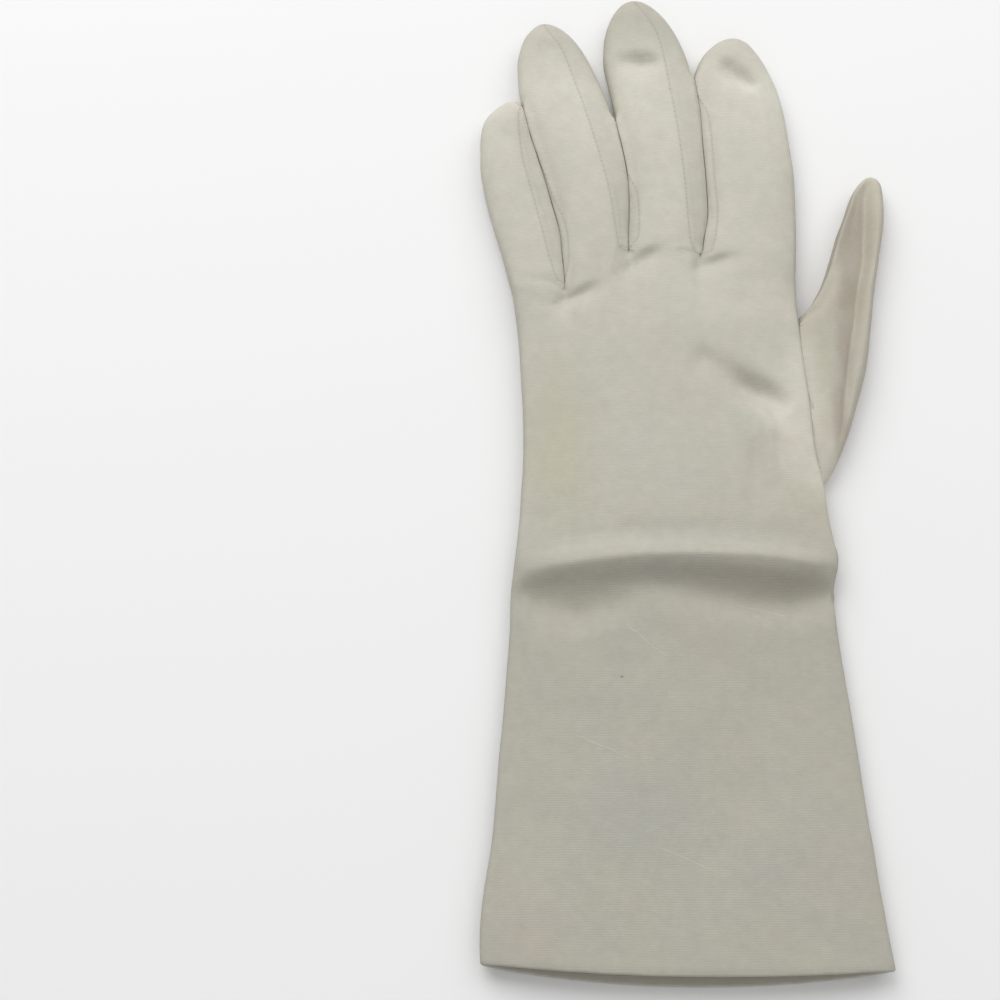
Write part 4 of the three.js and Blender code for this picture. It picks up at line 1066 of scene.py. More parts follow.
def read_rows(items, name, width, kind=float):
    """Values of a mesh's points or edges, one row for each."""
    values = np.empty(len(items) * width, dtype=kind)
    items.foreach_get(name, values)
    return values.reshape(-1, width)


def unit(vectors):
    """The same directions with a length of one."""
    return vectors / np.maximum(np.linalg.norm(vectors, axis=-1, keepdims=True), TINY)


def smooth_surface(cage):
    """Small faces whose corners meet the cage's points, as a mesh in the pattern's millimetres."""
    mesh = bpy.data.meshes.new("cage")
    wanted = np.array(cage.points, dtype=float)
    mesh.from_pydata([tuple(point) for point in wanted], [], cage.faces)
    mesh.polygons.foreach_set("material_index", cage.regions)
    for _ in range(THUMB + 1):
        mesh.materials.append(None)
    layer = mesh.uv_layers.new(name="cloth")
    flat = [value for cloth in cage.maps for pair in cloth for value in pair]
    layer.data.foreach_set("uv", np.array(flat, dtype=np.float32) * UV_PER_MM)
    obj = bpy.data.objects.new("cage", mesh)
    bpy.context.scene.collection.objects.link(obj)
    smooth = obj.modifiers.new("smooth", "SUBSURF")
    smooth.levels = smooth.render_levels = SMOOTHING
    smooth.uv_smooth = "PRESERVE_BOUNDARIES"
    smooth.boundary_smooth = "ALL"
    limit = FIT_LIMIT * shortest_edges(mesh, wanted)
    moved = wanted.copy()
    for _ in range(FIT_ROUNDS):
        mesh.vertices.foreach_set("co", moved.ravel())
        mesh.update()
        obj.update_tag()
        shift = moved - evaluated_points(obj)[:len(wanted)]
        size = np.maximum(np.linalg.norm(shift, axis=1), TINY)
        moved = wanted + shift * np.minimum(1, limit / size)[:, None]
    mesh.vertices.foreach_set("co", moved.ravel())
    mesh.update()
    bpy.context.view_layer.objects.active = obj
    bpy.ops.object.modifier_apply(modifier=smooth.name)
    mesh = obj.data
    bpy.data.objects.remove(obj)
    return mesh


def shortest_edges(mesh, points):
    """The length of the shortest edge at each corner."""
    edges = read_rows(mesh.edges, "vertices", 2, np.int32)
    lengths = np.linalg.norm(points[edges[:, 0]] - points[edges[:, 1]], axis=1)
    shortest = np.full(len(points), np.inf)
    np.minimum.at(shortest, edges[:, 0], lengths)
    np.minimum.at(shortest, edges[:, 1], lengths)
    return shortest


def evaluated_points(obj):
    """An object's points with its modifiers at work."""
    graph = bpy.context.evaluated_depsgraph_get()
    graph.update()
    return read_rows(obj.evaluated_get(graph).data.vertices, "co", 3)


def fold_profile(points, line, steep, soft):
    """How deep a fold presses at each point: by the nearest place on its line."""
    nearest = np.full(len(points), np.inf)
    depth = np.zeros(len(points))
    for first, second in zip(line, line[1:]):
        start = np.array([first["x"], first["y"]])
        along = np.array([second["x"], second["y"]]) - start
        offset = points[:, :2] - start
        t = np.clip(offset @ along / (along @ along), 0, 1)
        far = np.linalg.norm(offset - t[:, None] * along, axis=1)
        left = along[0] * offset[:, 1] - along[1] * offset[:, 0] > 0
        here = lerp(first["depth"], second["depth"], t) * np.exp(-((far / np.where(left, steep, soft)) ** 2))
        closer = far < nearest
        depth = np.where(closer, here, depth)
        nearest = np.minimum(nearest, far)
    return depth


def press_folds(points, normals):
    """Press the dents and folds into the side of the cloth that faces up."""
    facing_up = np.clip(normals[:, 2] / FOLD_FACING, 0, 1)
    drop = np.zeros(len(points))
    for row in FOLDS:
        drop += fold_profile(points, row["line"], row["steep"], row["soft"])
    points[:, 2] -= drop * facing_up


def surface_tree(mesh, points):
    """The surface through these points, ready for rays and nearest places."""
    corners = [Vector(point) for point in points]
    return BVHTree.FromPolygons(corners, [face.vertices[:] for face in mesh.polygons])


def contact_rows(points):
    """The crotch whose two fingers' contact is nearest to each point."""
    aside = []
    for row in CROTCHES:
        along = (points[:, 1] - row["y"]) / (row["touch_y"] - row["y"])
        aside.append(np.abs(points[:, 0] - lerp(row["x"], row["touch_x"], along)))
    return [CROTCHES[number] for number in np.argmin(aside, axis=0)]


def close_gaps(points, normals, tree):
    """Swell the sides of neighbouring fingers until they touch, level with the floor."""
    rows = contact_rows(points)
    shift = np.zeros((len(points), 3))
    for index, row in enumerate(rows):
        y = points[index][1]
        level = Vector((normals[index][0], normals[index][1], 0.0))
        if not row["y"] < y < row["touch_y"] or level.length < TOUCH_FACING:
            continue
        level.normalize()
        start = Vector(points[index]) + level * TOUCH_GAP / 2
        _, facing, _, gap = tree.ray_cast(start, level, TOUCH_NONE)
        if gap is not None and facing.dot(level) < 0:
            share = 1 - ease((gap - TOUCH_FULL) / (TOUCH_NONE - TOUCH_FULL))
            share *= ease((row["touch_y"] - y) / TOUCH_END) * ease((y - row["y"]) / TOUCH_START)
            shift[index] = np.array(level) * (max(0.0, gap - TOUCH_GAP / 2) / 2 * share)
    points += shift


def meet_hand(points, hand_tree):
    """Draw the thumb's top to the hand's folded edge."""
    for index in np.flatnonzero((points[:, 1] > MEET_FROM) & (points[:, 1] < MEET_TO)):
        at = Vector(points[index])
        nearest, facing, _, far = hand_tree.find_nearest(at, MEET_NONE)
        if nearest is None:
            continue
        share = 1 - ease((far - MEET_FULL) / (MEET_NONE - MEET_FULL))
        share *= ease((at.y - MEET_FROM) / MEET_START) * ease((MEET_TO - at.y) / MEET_START)
        points[index] = at.lerp(nearest + facing * MEET_GAP, share)


def add_swells(points, normals):
    """Let the cloth lie a little uneven, and leave what rests on the floor flat."""
    free = np.clip((points[:, 2] - SWELL_FROM) / (SWELL_FULL - SWELL_FROM), 0, 1)
    for swell in SWELLS:
        lean = Vector((swell["seed"], 0, 0))
        rise = np.array([noise.noise(Vector(point) / swell["size"] + lean) for point in points])
        points += normals * (swell["height"] * rise * free)[:, None]


def even_normals(mesh):
    """The surface's directions, evened out so that the wall behind it never turns over."""
    edges = read_rows(mesh.edges, "vertices", 2, np.int32)
    normals = read_rows(mesh.vertex_normals, "vector", 3)
    for _ in range(NORMAL_ROUNDS):
        total = normals.copy()
        np.add.at(total, edges[:, 0], normals[edges[:, 1]])
        np.add.at(total, edges[:, 1], normals[edges[:, 0]])
        normals = unit(total)
    return normals


def seam_pair(edge):
    """The two regions sewn together at an edge, if it is a seam: back and palm are sewn to each
    other, and a fourchette to all that it meets."""
    if len(edge.link_faces) != 2:
        return None
    pair = tuple(sorted(face.material_index for face in edge.link_faces))
    strip = pair[0] != pair[1] and (pair[0] in STRIPS or pair[1] in STRIPS)
    return pair if strip or pair == (BACK, PALM) else None


def chained(edges):
    """Join edges into chains of vertices."""
    links = {}
    for a, b in edges:
        links.setdefault(a, []).append(b)
        links.setdefault(b, []).append(a)
    chains = []
    while links:
        ends = [vertex for vertex, others in links.items() if len(others) == 1]
        at = ends[0] if ends else next(iter(links))
        chain = [at]
        while links.get(at):
            following = links[at].pop()
            links[following].remove(at)
            if not links[at]:
                del links[at]
            at = following
            chain.append(at)
        links.pop(at, None)
        chains.append(chain)
    return chains


class Cloth:
    """One smooth surface of cloth, sculpted, and parted at its seams."""

    def __init__(self, cage, hand_tree=None):
        mesh = smooth_surface(cage)
        points = read_rows(mesh.vertices, "co", 3)
        normals = read_rows(mesh.vertex_normals, "vector", 3)
        add_swells(points, normals)
        if not hand_tree:
            close_gaps(points, normals, surface_tree(mesh, points))
        press_folds(points, normals)
        if hand_tree:
            meet_hand(points, hand_tree)
        self.bm = bmesh.new()
        self.bm.from_mesh(mesh)
        self.lines = self.seam_lines()
        far = self.sink_seams(points, normals)
        points[:, 2] = np.maximum(points[:, 2], 0.0)
        mesh.vertices.foreach_set("co", points.ravel())
        mesh.update()
        normals = even_normals(mesh)
        resting = points[:, 2] < RESTING_HEIGHT
        normals[resting, 2] = -np.abs(normals[resting, 2])
        self.points = points
        self.normals = normals
        self.tree = surface_tree(mesh, points)
        self.normal_layer = self.bm.verts.layers.float_vector.new("normal")
        self.far_layer = self.bm.verts.layers.float.new("far")
        for vertex in self.bm.verts:
            vertex.co = Vector(points[vertex.index])
            vertex[self.normal_layer] = Vector(normals[vertex.index])
            vertex[self.far_layer] = far[vertex.index]
        bmesh.ops.split_edges(self.bm, edges=[edge for edge in self.bm.edges if seam_pair(edge)])
        self.bm.verts.index_update()

    def seam_lines(self):
        """The seams as chains of points, each with the pair of regions that it joins."""
        groups = {}
        for edge in self.bm.edges:
            pair = seam_pair(edge)
            if pair:
                groups.setdefault(pair, []).append((edge.verts[0].index, edge.verts[1].index))
        return [(pair, chain) for pair, edges in groups.items() for chain in chained(edges)]

    def sink_seams(self, points, normals):
        """Draw the cloth in along the seams, and tell how far each point lies from one."""
        seam_points = sorted({index for _, chain in self.lines for index in chain})
        if not seam_points:
            return np.full(len(points), NO_SEAM)
        tree = KDTree(len(seam_points))
        for index in seam_points:
            tree.insert(Vector(points[index]), index)
        tree.balance()
        far = np.array([tree.find(Vector(point))[2] for point in points])
        points -= normals * (SEAM_SINK * np.exp(-((far / SEAM_SINK_WIDTH) ** 2)))[:, None]
        return far


@lru_cache(maxsize=1)
def whole_glove():
    """The cloth of the panel with the fourchettes, and that of the thumb."""
    glove = GloveCage()
    panel = Cloth(glove)
    return panel, Cloth(ThumbCage(glove), panel.tree)


class Cutting:
    """The faces of some regions of the cloth, numbered anew, and the rim where they are cut."""

    def __init__(self, cloth, regions):
        uv_layer = cloth.bm.loops.layers.uv["cloth"]
        index = {}
        points, normals, far = [], [], []
        self.faces, self.maps = [], []
        for face in cloth.bm.faces:
            if face.material_index not in regions:
                continue
            for vertex in face.verts:
                if vertex.index not in index:
                    index[vertex.index] = len(points)
                    points.append(vertex.co[:])
                    normals.append(vertex[cloth.normal_layer][:])
                    far.append(vertex[cloth.far_layer])
            self.faces.append([index[vertex.index] for vertex in face.verts])
            self.maps.append([loop[uv_layer].uv[:] for loop in face.loops])
        self.points = np.array(points)
        self.normals = np.array(normals)
        self.far = np.array(far)
        self.sides = {}
        for number, face in enumerate(self.faces):
            for i, a in enumerate(face):
                self.sides[(a, face[(i + 1) % len(face)])] = (number, i)
        self.rim = {(a, b): at for (a, b), at in self.sides.items() if (b, a) not in self.sides}
        self.rim_points = sorted({vertex for side in self.rim for vertex in side})

    def room(self):
        """The length of the shortest side that runs inward from each point of the rim."""
        room = np.full(len(self.points), np.inf)
        for a, b in self.sides:
            if (a, b) not in self.rim:
                length = np.linalg.norm(self.points[a] - self.points[b])
                room[a] = min(room[a], length)
                room[b] = min(room[b], length)
        return room[self.rim_points]

    def into(self):
        """The direction into the cloth from each point of the rim, longer where the rim bends."""
        inward = {}
        for (a, b), (number, _) in self.rim.items():
            corners = self.points[self.faces[number]]
            facing = np.cross(corners[2] - corners[0], corners[-1] - corners[1])
            direction = unit(np.cross(facing, self.points[b] - self.points[a]))
            inward.setdefault(a, []).append(direction)
            inward.setdefault(b, []).append(direction)
        return np.array([
            sum(inward[at]) / max(1 + inward[at][0] @ inward[at][-1], MITRE_LIMIT) for at in self.rim_points
        ])


def wall_share(points):
    """How much of its thickness the wall has: all of it, but for the closed tips."""
    tips = [(lerp(rows[0]["left"], rows[0]["right"], 0.5), top) for rows, top in TIP_ROWS]
    near = np.min([np.hypot(points[:, 0] - x, points[:, 1] - y) for x, y in tips], axis=0)
    return lerp(THIN_SHARE, 1.0, np.clip(near / TIP_THINNING, 0, 1))


def wall_layers(cutting, wall, hem):
    """The points of the wall: its outside, the rings of its turned edge, and its inside."""
    points = cutting.points
    rim = cutting.rim_points
    at = points[rim]
    lean = cutting.normals[rim]
    into = cutting.into()
    is_hem = (at[:, 1] < HEM_EDGE)[:, None]
    shrink = np.minimum(1, ROOM_SHARE * cutting.room() / SEAM_ROLL[0]["inset"])[:, None]
    thick = (np.where(points[:, 1] < HEM_TOP, hem, wall) * wall_share(points))[:, None]
    rings = []
    for seam, edge in zip(SEAM_ROLL, HEM_ROLL):
        turned = at + into * seam["inset"] * shrink - lean * seam["depth"] * thick[rim]
        hemmed = at + into * edge["inset"] - lean * edge["depth"] * hem
        rings.append(np.where(is_hem, hemmed, turned))
    outside = points.copy()
    outside[rim] = rings[0]
    sewn = at + into * SEAM_ROLL[-1]["inset"] * shrink - lean * thick[rim]
    inside = points - cutting.normals * thick
    inside[rim] = np.where(is_hem, at - lean * hem, sewn)
    return [outside, *rings[1:], inside]


def build_wall(cloth, regions, name):
    """Give the cloth of some regions its thickness, with turned edges at seams and hem."""
    sizes = bpy.context.scene.glove_sizes
    cutting = Cutting(cloth, regions)
    layers = wall_layers(cutting, sizes.cloth / MM, sizes.hem / MM)
    last = len(layers) - 1
    starts = [sum(len(layer) for layer in layers[:number]) for number in range(len(layers))]
    place = {vertex: i for i, vertex in enumerate(cutting.rim_points)}

    def number_of(layer, vertex):
        return starts[layer] + (vertex if layer in (0, last) else place[vertex])

    faces = list(cutting.faces)
    maps = [pair for corners in cutting.maps for pair in corners]
    for face, corners in zip(cutting.faces, cutting.maps):
        faces.append([number_of(last, vertex) for vertex in reversed(face)])
        maps.extend(reversed(corners))
    for (a, b), (number, i) in cutting.rim.items():
        corners = cutting.maps[number]
        map_a, map_b = corners[i], corners[(i + 1) % len(corners)]
        for layer in range(last):
            ends = ((layer, b), (layer, a), (layer + 1, a), (layer + 1, b))
            faces.append([number_of(*end) for end in ends])
            maps.extend([map_b, map_a, map_a, map_b])
    obj = new_object(name, np.concatenate(layers), faces)
    mesh = obj.data
    mesh.uv_layers.new(name="cloth").data.foreach_set("uv", np.array(maps, dtype=np.float32).ravel())
    far = [cutting.far, *[cutting.far[cutting.rim_points]] * (last - 1), cutting.far]
    attribute = mesh.attributes.new("seam_mm", "FLOAT", "POINT")
    attribute.data.foreach_set("value", np.concatenate(far).astype(np.float32))
    seam_points = {at for at in cutting.rim_points if cutting.points[at][1] >= HEM_EDGE}
    for edge in mesh.edges:
        a, b = edge.vertices
        edge.use_edge_sharp = ((a, b) in cutting.rim or (b, a) in cutting.rim) and a in seam_points
    mesh.update()
    return obj


def new_object(name, points, faces):
    """A smooth object made of points in the pattern's millimetres."""
    mesh = bpy.data.meshes.new(name)
    placed = (np.array(points) - PATTERN_MIDDLE) * MM
    mesh.from_pydata([tuple(point) for point in placed], [], faces)
    mesh.polygons.foreach_set("use_smooth", [True] * len(faces))
    mesh.update()
    obj = bpy.data.objects.new(name, mesh)
    bpy.context.scene.collection.objects.link(obj)
    return obj


# Stitches

STITCH_SIDES = 6  # round a stitch
STITCH_END = 1.5  # from the end of a seam to its first stitch
STITCH_SHAPE = table("along share", (-1.0, 0.0), (-0.8, 0.6), (0.0, 1.0), (0.8, 0.6), (1.0, 0.0))


def stitch_places(cloth, lines, pitch):
    """Points evenly spaced along the seams, with the normal and the direction there."""
    places = []
    for _, chain in lines:
        points = cloth.points[chain]
        normals = cloth.normals[chain]
        lengths = np.concatenate([[0], np.cumsum(np.linalg.norm(np.diff(points, axis=0), axis=1))])
        free = lengths[-1] - 2 * STITCH_END
        if free < pitch:
            continue
        count = int(free / pitch)
        for at in STITCH_END + (np.arange(count) + 0.5) * (free / count):
            i = max(1, min(int(np.searchsorted(lengths, at)), len(lengths) - 1))
            t = (at - lengths[i - 1]) / max(lengths[i] - lengths[i - 1], TINY)
            normal = unit(lerp(normals[i - 1], normals[i], t))
            places.append((lerp(points[i - 1], points[i], t), normal, points[i] - points[i - 1]))
    return places


def make_stitches(name, cloth, lines):
    """Short threads that bridge a seam, joined into one mesh."""
    sizes = bpy.context.scene.glove_sizes
    length = sizes.stitch_length / MM / 2
    radius = sizes.stitch_thickness / MM / 2
    rings = sum(1 for ring in STITCH_SHAPE if ring["share"] > 0)
    points, faces = [], []
    for at, normal, along in stitch_places(cloth, lines, sizes.stitch_pitch / MM):
        across = unit(np.cross(normal, along))
        side = np.cross(across, normal)
        centre = at - normal * (sizes.stitch_depth / MM)
        start = len(points)
        for ring in STITCH_SHAPE:
            middle = centre + across * ring["along"] * length
            if ring["share"] == 0:
                points.append(middle)
                continue
            for i in range(STITCH_SIDES):
                turn = 2 * math.pi * i / STITCH_SIDES
                offset = side * math.cos(turn) + normal * math.sin(turn)
                points.append(middle + offset * radius * ring["share"])
        first = start + 1
        last_ring = first + (rings - 1) * STITCH_SIDES
        end = last_ring + STITCH_SIDES
        for i in range(STITCH_SIDES):
            j = (i + 1) % STITCH_SIDES
            faces.append((start, first + j, first + i))
            for a in range(first, last_ring, STITCH_SIDES):
                faces.append((a + i, a + j, a + STITCH_SIDES + j, a + STITCH_SIDES + i))
            faces.append((end, last_ring + i, last_ring + j))
    return new_object(name, points, faces)


# Materials. Formulas in a node tree are written with values, which stand for its sockets.

class Value:
    """An output of a node, which other nodes reckon with."""

    def __init__(self, tree, socket):
        self.tree = tree
        self.socket = socket

    def math(self, operation, *others):
        inputs = dict(enumerate((self, *others)))
        return new_value(self.tree, "ShaderNodeMath", inputs, operation=operation)

    def __add__(self, other):
        return self.math("ADD", other)

    def __sub__(self, other):
        return self.math("SUBTRACT", other)

    def __mul__(self, other):
        return self.math("MULTIPLY", other)

    def __truediv__(self, other):
        return self.math("DIVIDE", other)

    def __abs__(self):
        return self.math("ABSOLUTE")

    def parts(self):
        """The x, y and z of a place."""
        node = add_node(self.tree, "ShaderNodeSeparateXYZ", {0: self})
        return [Value(self.tree, socket) for socket in node.outputs]

    def noise(self, name):
        """One of the noises of the table, at this place."""
        sizes = NOISES[name]
        inputs = {"Vector": self, "Scale": sizes["scale"], "Detail": sizes["detail"]}
        return new_value(self.tree, "ShaderNodeTexNoise", inputs)

    def step(self, start, end):
        """0 before the start and 1 after the end, with a smooth rise between them."""
        inputs = {"Value": self, "From Min": start, "From Max": end}
        return new_value(self.tree, "ShaderNodeMapRange", inputs, interpolation_type="SMOOTHSTEP")

    def wave(self):
        """A wave with one crest from each whole number to the next."""
        return (self * (2 * math.pi)).math("SINE")


def add_node(tree, kind, inputs, **settings):
    """Add a node. Its inputs are constants, or values that are linked to it."""
    node = tree.nodes.new(kind)
    for name, setting in settings.items():
        setattr(node, name, setting)
    for key, given in inputs.items():
        if isinstance(given, Value):
            tree.links.new(given.socket, node.inputs[key])
        else:
            node.inputs[key].default_value = given
    return node


def new_value(tree, kind, inputs, output=0, **settings):
    """Add a node and take one of its outputs."""
    return Value(tree, add_node(tree, kind, inputs, **settings).outputs[output])


def opaque(colour):
    """A colour with its fourth number, that nothing shows through."""
    return (*colour, 1.0)


def blend_colour(tree, share, first, second, mode="MIX"):
    """Mix two colours. The numbers are the colour sockets of a Mix node."""
    inputs = {0: share, 6: first, 7: second}
    return new_value(tree, "ShaderNodeMix", inputs, 2, data_type="RGBA", blend_type=mode)


# The noises, by the fineness of their pattern.
NOISES = {
    row["name"]: row for row in table(
        "name scale detail",
        ("wandering courses", 6.0, 2.0),
        ("worn courses", 22.0, 3.0),
        ("yarn", 1.7, 4.0),
        ("ragged spot", 90.0, 3.0),
        ("wiggling thread", 160.0, 2.0),
        ("soil", 45.0, 4.0),
        ("blush", 70.0, 3.0),
        ("mottle", 330.0, 3.0),
        ("twist", 900.0, 2.0),
    )
}

# The knit. Its heights are shares of the property "Knit depth".
COURSE_WANDER = 1.2  # how far the courses wander, in courses
COURSE_ZIGZAG = 0.2  # how far each loop's middle stands above its ends, in courses
LOOP_DEPTH = 0.2  # how deep the wales part the courses
WORN_DEPTH = 0.65  # how much of the courses is gone where the cloth is worn
WORN_STEP = (0.3, 0.7)
YARN_STRETCH = 0.3  # how much the yarn's noise is drawn out along the courses
YARN_HEIGHT = 1.1
YARN_TONE = 0.65  # share of the yarn in the knit's tone, the rest is the courses'

# Light and dark of the cloth: how much of its brightness each of them changes.
KNIT_SHADE = 0.12
KNIT_STEP = (0.15, 0.85)
MOTTLE_SHADE = 0.14
# painted shade along the seams: the cloth's colour darkens toward the seam line
SEAM_SHADE = 0.07
SEAM_STEP = (0.0, 0.8)  # distance to a seam
# painted shade: cloth that faces level, at the glove's sides, is darkened in its colour
SIDE_SHADE = 0.14  # at the glove's sides, which face level
SIDE_STEP = (0.0, 0.8)
SOIL_SHARE = 0.14  # soil all over
SOIL_STEP = (0.35, 0.75)
BLUSH_SHARE = 0.1  # of the cool and the warm stain all over
BLUSH_STEP = (0.35, 0.65)

SPOT_RAGGED = 0.9  # how ragged a spot's edge is, as a share of its size
SPOT_STEP = (1.3, 0.2)
PULLED_SHARE = 0.17  # how much lighter a pulled thread is
PULLED_HEIGHT = 0.05
PULLED_WIGGLE = 1.2  # how far it strays from its line
PULLED_ENDS = (1.0, 0.7)  # where it fades, as shares of half its length
RIDGE_HEIGHT = 0.12  # a fourchette's edge, lifted by the seam's allowance inside
RIDGE_STEP = (2.6, 1.0)
# painted shade on the sewing thread, where its twist turns away
THREAD_DARK = 0.75  # the darker colour in the twist of the sewing thread
THREAD_BUMP = 0.05

# Stains, changes of tone and painted shade in folds, in the object's millimetres.
TONES = table(
    "name x y width length strength colour",
    ("bluish bloom on the cuff", -16, -98, 20, 15, 0.3, "cool_stain"),
    ("bluish bloom lower on the cuff", 20, -112, 14, 10, 0.22, "cool_stain"),
    ("bluish band above the wrist", 0, -23, 34, 5, 0.2, "cool_stain"),
    ("pink at the cuff's left", -45, -130, 14, 10, 0.3, "warm_stain"),
    ("pink at the cuff's right", 36, -112, 14, 16, 0.25, "warm_stain"),
    ("pink above the hand's dent", 28, 18, 10, 10, 0.2, "warm_stain"),
    ("pink below the hand's dent", 25, 1, 12, 10, 0.3, "warm_stain"),
    ("yellow along the hand's left", -36, 4, 12, 30, 0.5, "yellowed"),
    ("cream by the thumb's base", 34, -8, 12, 20, 0.35, "yellowed"),
    ("little finger's tip", -50, 104, 7, 7, 0.15, "soil"),
    ("little finger's joint", -47, 96, 5, 6, 0.25, "warm_stain"),
    ("ring finger's tip", -39, 130, 9, 7, 0.1, "soil"),
    ("middle finger's tip", -11, 137, 11, 8, 0.1, "soil"),
    ("index finger's tip", 16, 127, 11, 7, 0.1, "soil"),
    ("dark speck", -19.9, -62, 0.5, 0.4, 0.6, "speck"),
    ("cleaner cloth beside the thumb", 31, 12, 12, 26, 0.6, "cloth"),
    ("cleaner cloth at the thumb's base", 38, -4, 8, 14, 0.6, "cloth"),
    # painted shade in the valley below the wrist, laid in the soil colour
    ("soil in the wrist's fold", 20, -35, 24, 6, 0.22, "soil"),
    # painted shade on the thumb's slanted side, whose cloth is also greyer, and painted shade along the dark
    # flank of its crease
    ("grey along the thumb's slanted side", 46.0, 67, 6, 13, 0.7, "soil"),
    ("soil in the thumb's crease", 46.2, 50, 3.2, 14, 0.6, "soil"),
    ("soil lower in the crease", 44.2, 32, 2.8, 13, 0.85, "soil"),
    ("soil at the crease's end", 42.0, 13, 2.6, 13, 0.9, "soil"),
    ("yellow beside the thumb's crease", 38.5, 24, 4, 20, 0.25, "yellowed"),
)

# How much of the cuff's greyer colour the cloth has along the glove. The darkest share, at y -42 just below
# the wrist, lies in the valley of the wrist's fold and is painted shade there.
AGEING_AND_WRIST_SHADE = table(
    "y share",
    (-142, 0.89), (-100, 0.88), (-60, 0.92), (-42, 0.98), (-31, 0.9), (-24, 0.68), (0, 0.64),
    (40, 0.57), (70, 0.49), (90, 0.42), (104, 0.25), (112, 0.17), (142, 0.13),
)

# Pulled threads: their middle, their direction in degrees, and how long and wide they are.
PULLED_THREADS = table(
    "x y turn length width",
    (-12.6, -52.4, -38, 17, 0.3), (19.0, -43.4, -13, 14, 0.3), (-25.0, -81.0, -24, 18, 0.3),
    (-3.0, -111.0, -23, 18, 0.3),
)


def new_group(name, inputs):
    """Start a node group. An input with a default is a number, and one without is a place."""
    group = bpy.data.node_groups.new(name, "ShaderNodeTree")
    for label, default in inputs.items():
        kind = "NodeSocketVector" if default is None else "NodeSocketFloat"
        socket = group.interface.new_socket(label, in_out="INPUT", socket_type=kind)
        if default is not None:
            socket.default_value = default
    start = group.nodes.new("NodeGroupInput")
    return group, {label: Value(group, start.outputs[label]) for label in inputs}


def finish_group(group, outputs):
    """Give a node group its named outputs."""
    for label in outputs:
        group.interface.new_socket(label, in_out="OUTPUT", socket_type="NodeSocketFloat")
    end = group.nodes.new("NodeGroupOutput")
    for label, value in outputs.items():
        group.links.new(value.socket, end.inputs[label])
    return group


@lru_cache(maxsize=None)
def knit_group():
    """Fine tricot knit: courses across the cloth, drawn into loops by its wales."""
    group, given = new_group("fine_knit", {"Map": None, "Course": 0.75, "Wale": 0.5})
    u, v = (part / UV_PER_MM for part in given["Map"].parts()[:2])
    wale = u / given["Wale"]
    course = v / given["Course"] + given["Map"].noise("wandering courses") * COURSE_WANDER
    course = course + wale.math("PINGPONG", 0.5) * (2 * COURSE_ZIGZAG)
    wave = course.wave() * 0.5 + 0.5
    wave = wave * (given["Map"].noise("worn courses").step(*WORN_STEP) * WORN_DEPTH + (1 - WORN_DEPTH))
    loops = wale.wave() * LOOP_DEPTH + (1 - LOOP_DEPTH)
    yarn = new_value(group, "ShaderNodeCombineXYZ", {0: u * YARN_STRETCH, 1: v}).noise("yarn")
    return finish_group(group, {
        "Height": wave * loops + yarn * YARN_HEIGHT,
        "Tone": wave * (1 - YARN_TONE) + yarn * YARN_TONE,
    })


@lru_cache(maxsize=None)
def spot_group():
    """A soft-edged oval on the cloth, in metres from the object's origin."""
    sizes = {"X": 0.0, "Y": 0.0, "Width": 0.01, "Length": 0.01, "Strength": 0.5}
    group, given = new_group("soft_spot", {"Place": None, **sizes})
    x, y, _ = given["Place"].parts()
    x = (x - given["X"]) / given["Width"]
    y = (y - given["Y"]) / given["Length"]
    ragged = given["Place"].noise("ragged spot") * SPOT_RAGGED - SPOT_RAGGED / 2
    inside = ((x * x + y * y).math("SQRT") + ragged).step(*SPOT_STEP)
    return finish_group(group, {"Mask": inside * given["Strength"]})


@lru_cache(maxsize=None)
def pulled_thread_group():
    """A thin straight line on the cloth, in metres from the object's origin."""
    sizes = {"X": 0.0, "Y": 0.0, "Turn": 0.0, "Length": 0.01, "Width": 0.0003}
    group, given = new_group("pulled_thread", {"Place": None, **sizes})
    middle = new_value(group, "ShaderNodeCombineXYZ", {0: given["X"], 1: given["Y"]})
    inputs = {0: given["Place"], 1: middle}
    offset = new_value(group, "ShaderNodeVectorMath", inputs, operation="SUBTRACT")
    inputs = {"Vector": offset, "Angle": given["Turn"]}
    along, aside, _ = new_value(group, "ShaderNodeVectorRotate", inputs, rotation_type="Z_AXIS").parts()
    wiggle = PULLED_WIGGLE * MM
    aside = abs(aside + (given["Place"].noise("wiggling thread") * wiggle - wiggle / 2))
    thin = (aside / given["Width"]).step(1.0, 0.0)
    ends = (abs(along) / (given["Length"] * 0.5)).step(*PULLED_ENDS)
    return finish_group(group, {"Mask": thin * ends})


def new_material(name, constants):
    """A material whose shader has these constant values."""
    material = bpy.data.materials.new(name)
    material.use_nodes = True
    shader = material.node_tree.nodes["Principled BSDF"]
    for key, value in constants.items():
        shader.inputs[key].default_value = value
    return material, material.node_tree, shader


def aged_and_shaded(place, piece_colour, cuff_colour):
    """The cloth's colour, which greys toward the mouth, with painted shade in the fold just below the wrist.
    """
    tree = place.tree
    start, end = AGEING_AND_WRIST_SHADE[0]["y"], AGEING_AND_WRIST_SHADE[-1]["y"]
    inputs = {"Value": place.parts()[1], "From Min": start * MM, "From Max": end * MM}
    share = new_value(tree, "ShaderNodeMapRange", inputs)
    ramp = add_node(tree, "ShaderNodeValToRGB", {0: share})
    stops = ramp.color_ramp.elements
    for i, row in enumerate(AGEING_AND_WRIST_SHADE):
        at = (row["y"] - start) / (end - start)
        stop = stops[i] if i < len(stops) - 1 else stops.new(at)
        stop.position = at
        stop.color = opaque([row["share"]] * 3)
    return blend_colour(tree, Value(tree, ramp.outputs[0]), opaque(piece_colour), opaque(cuff_colour))


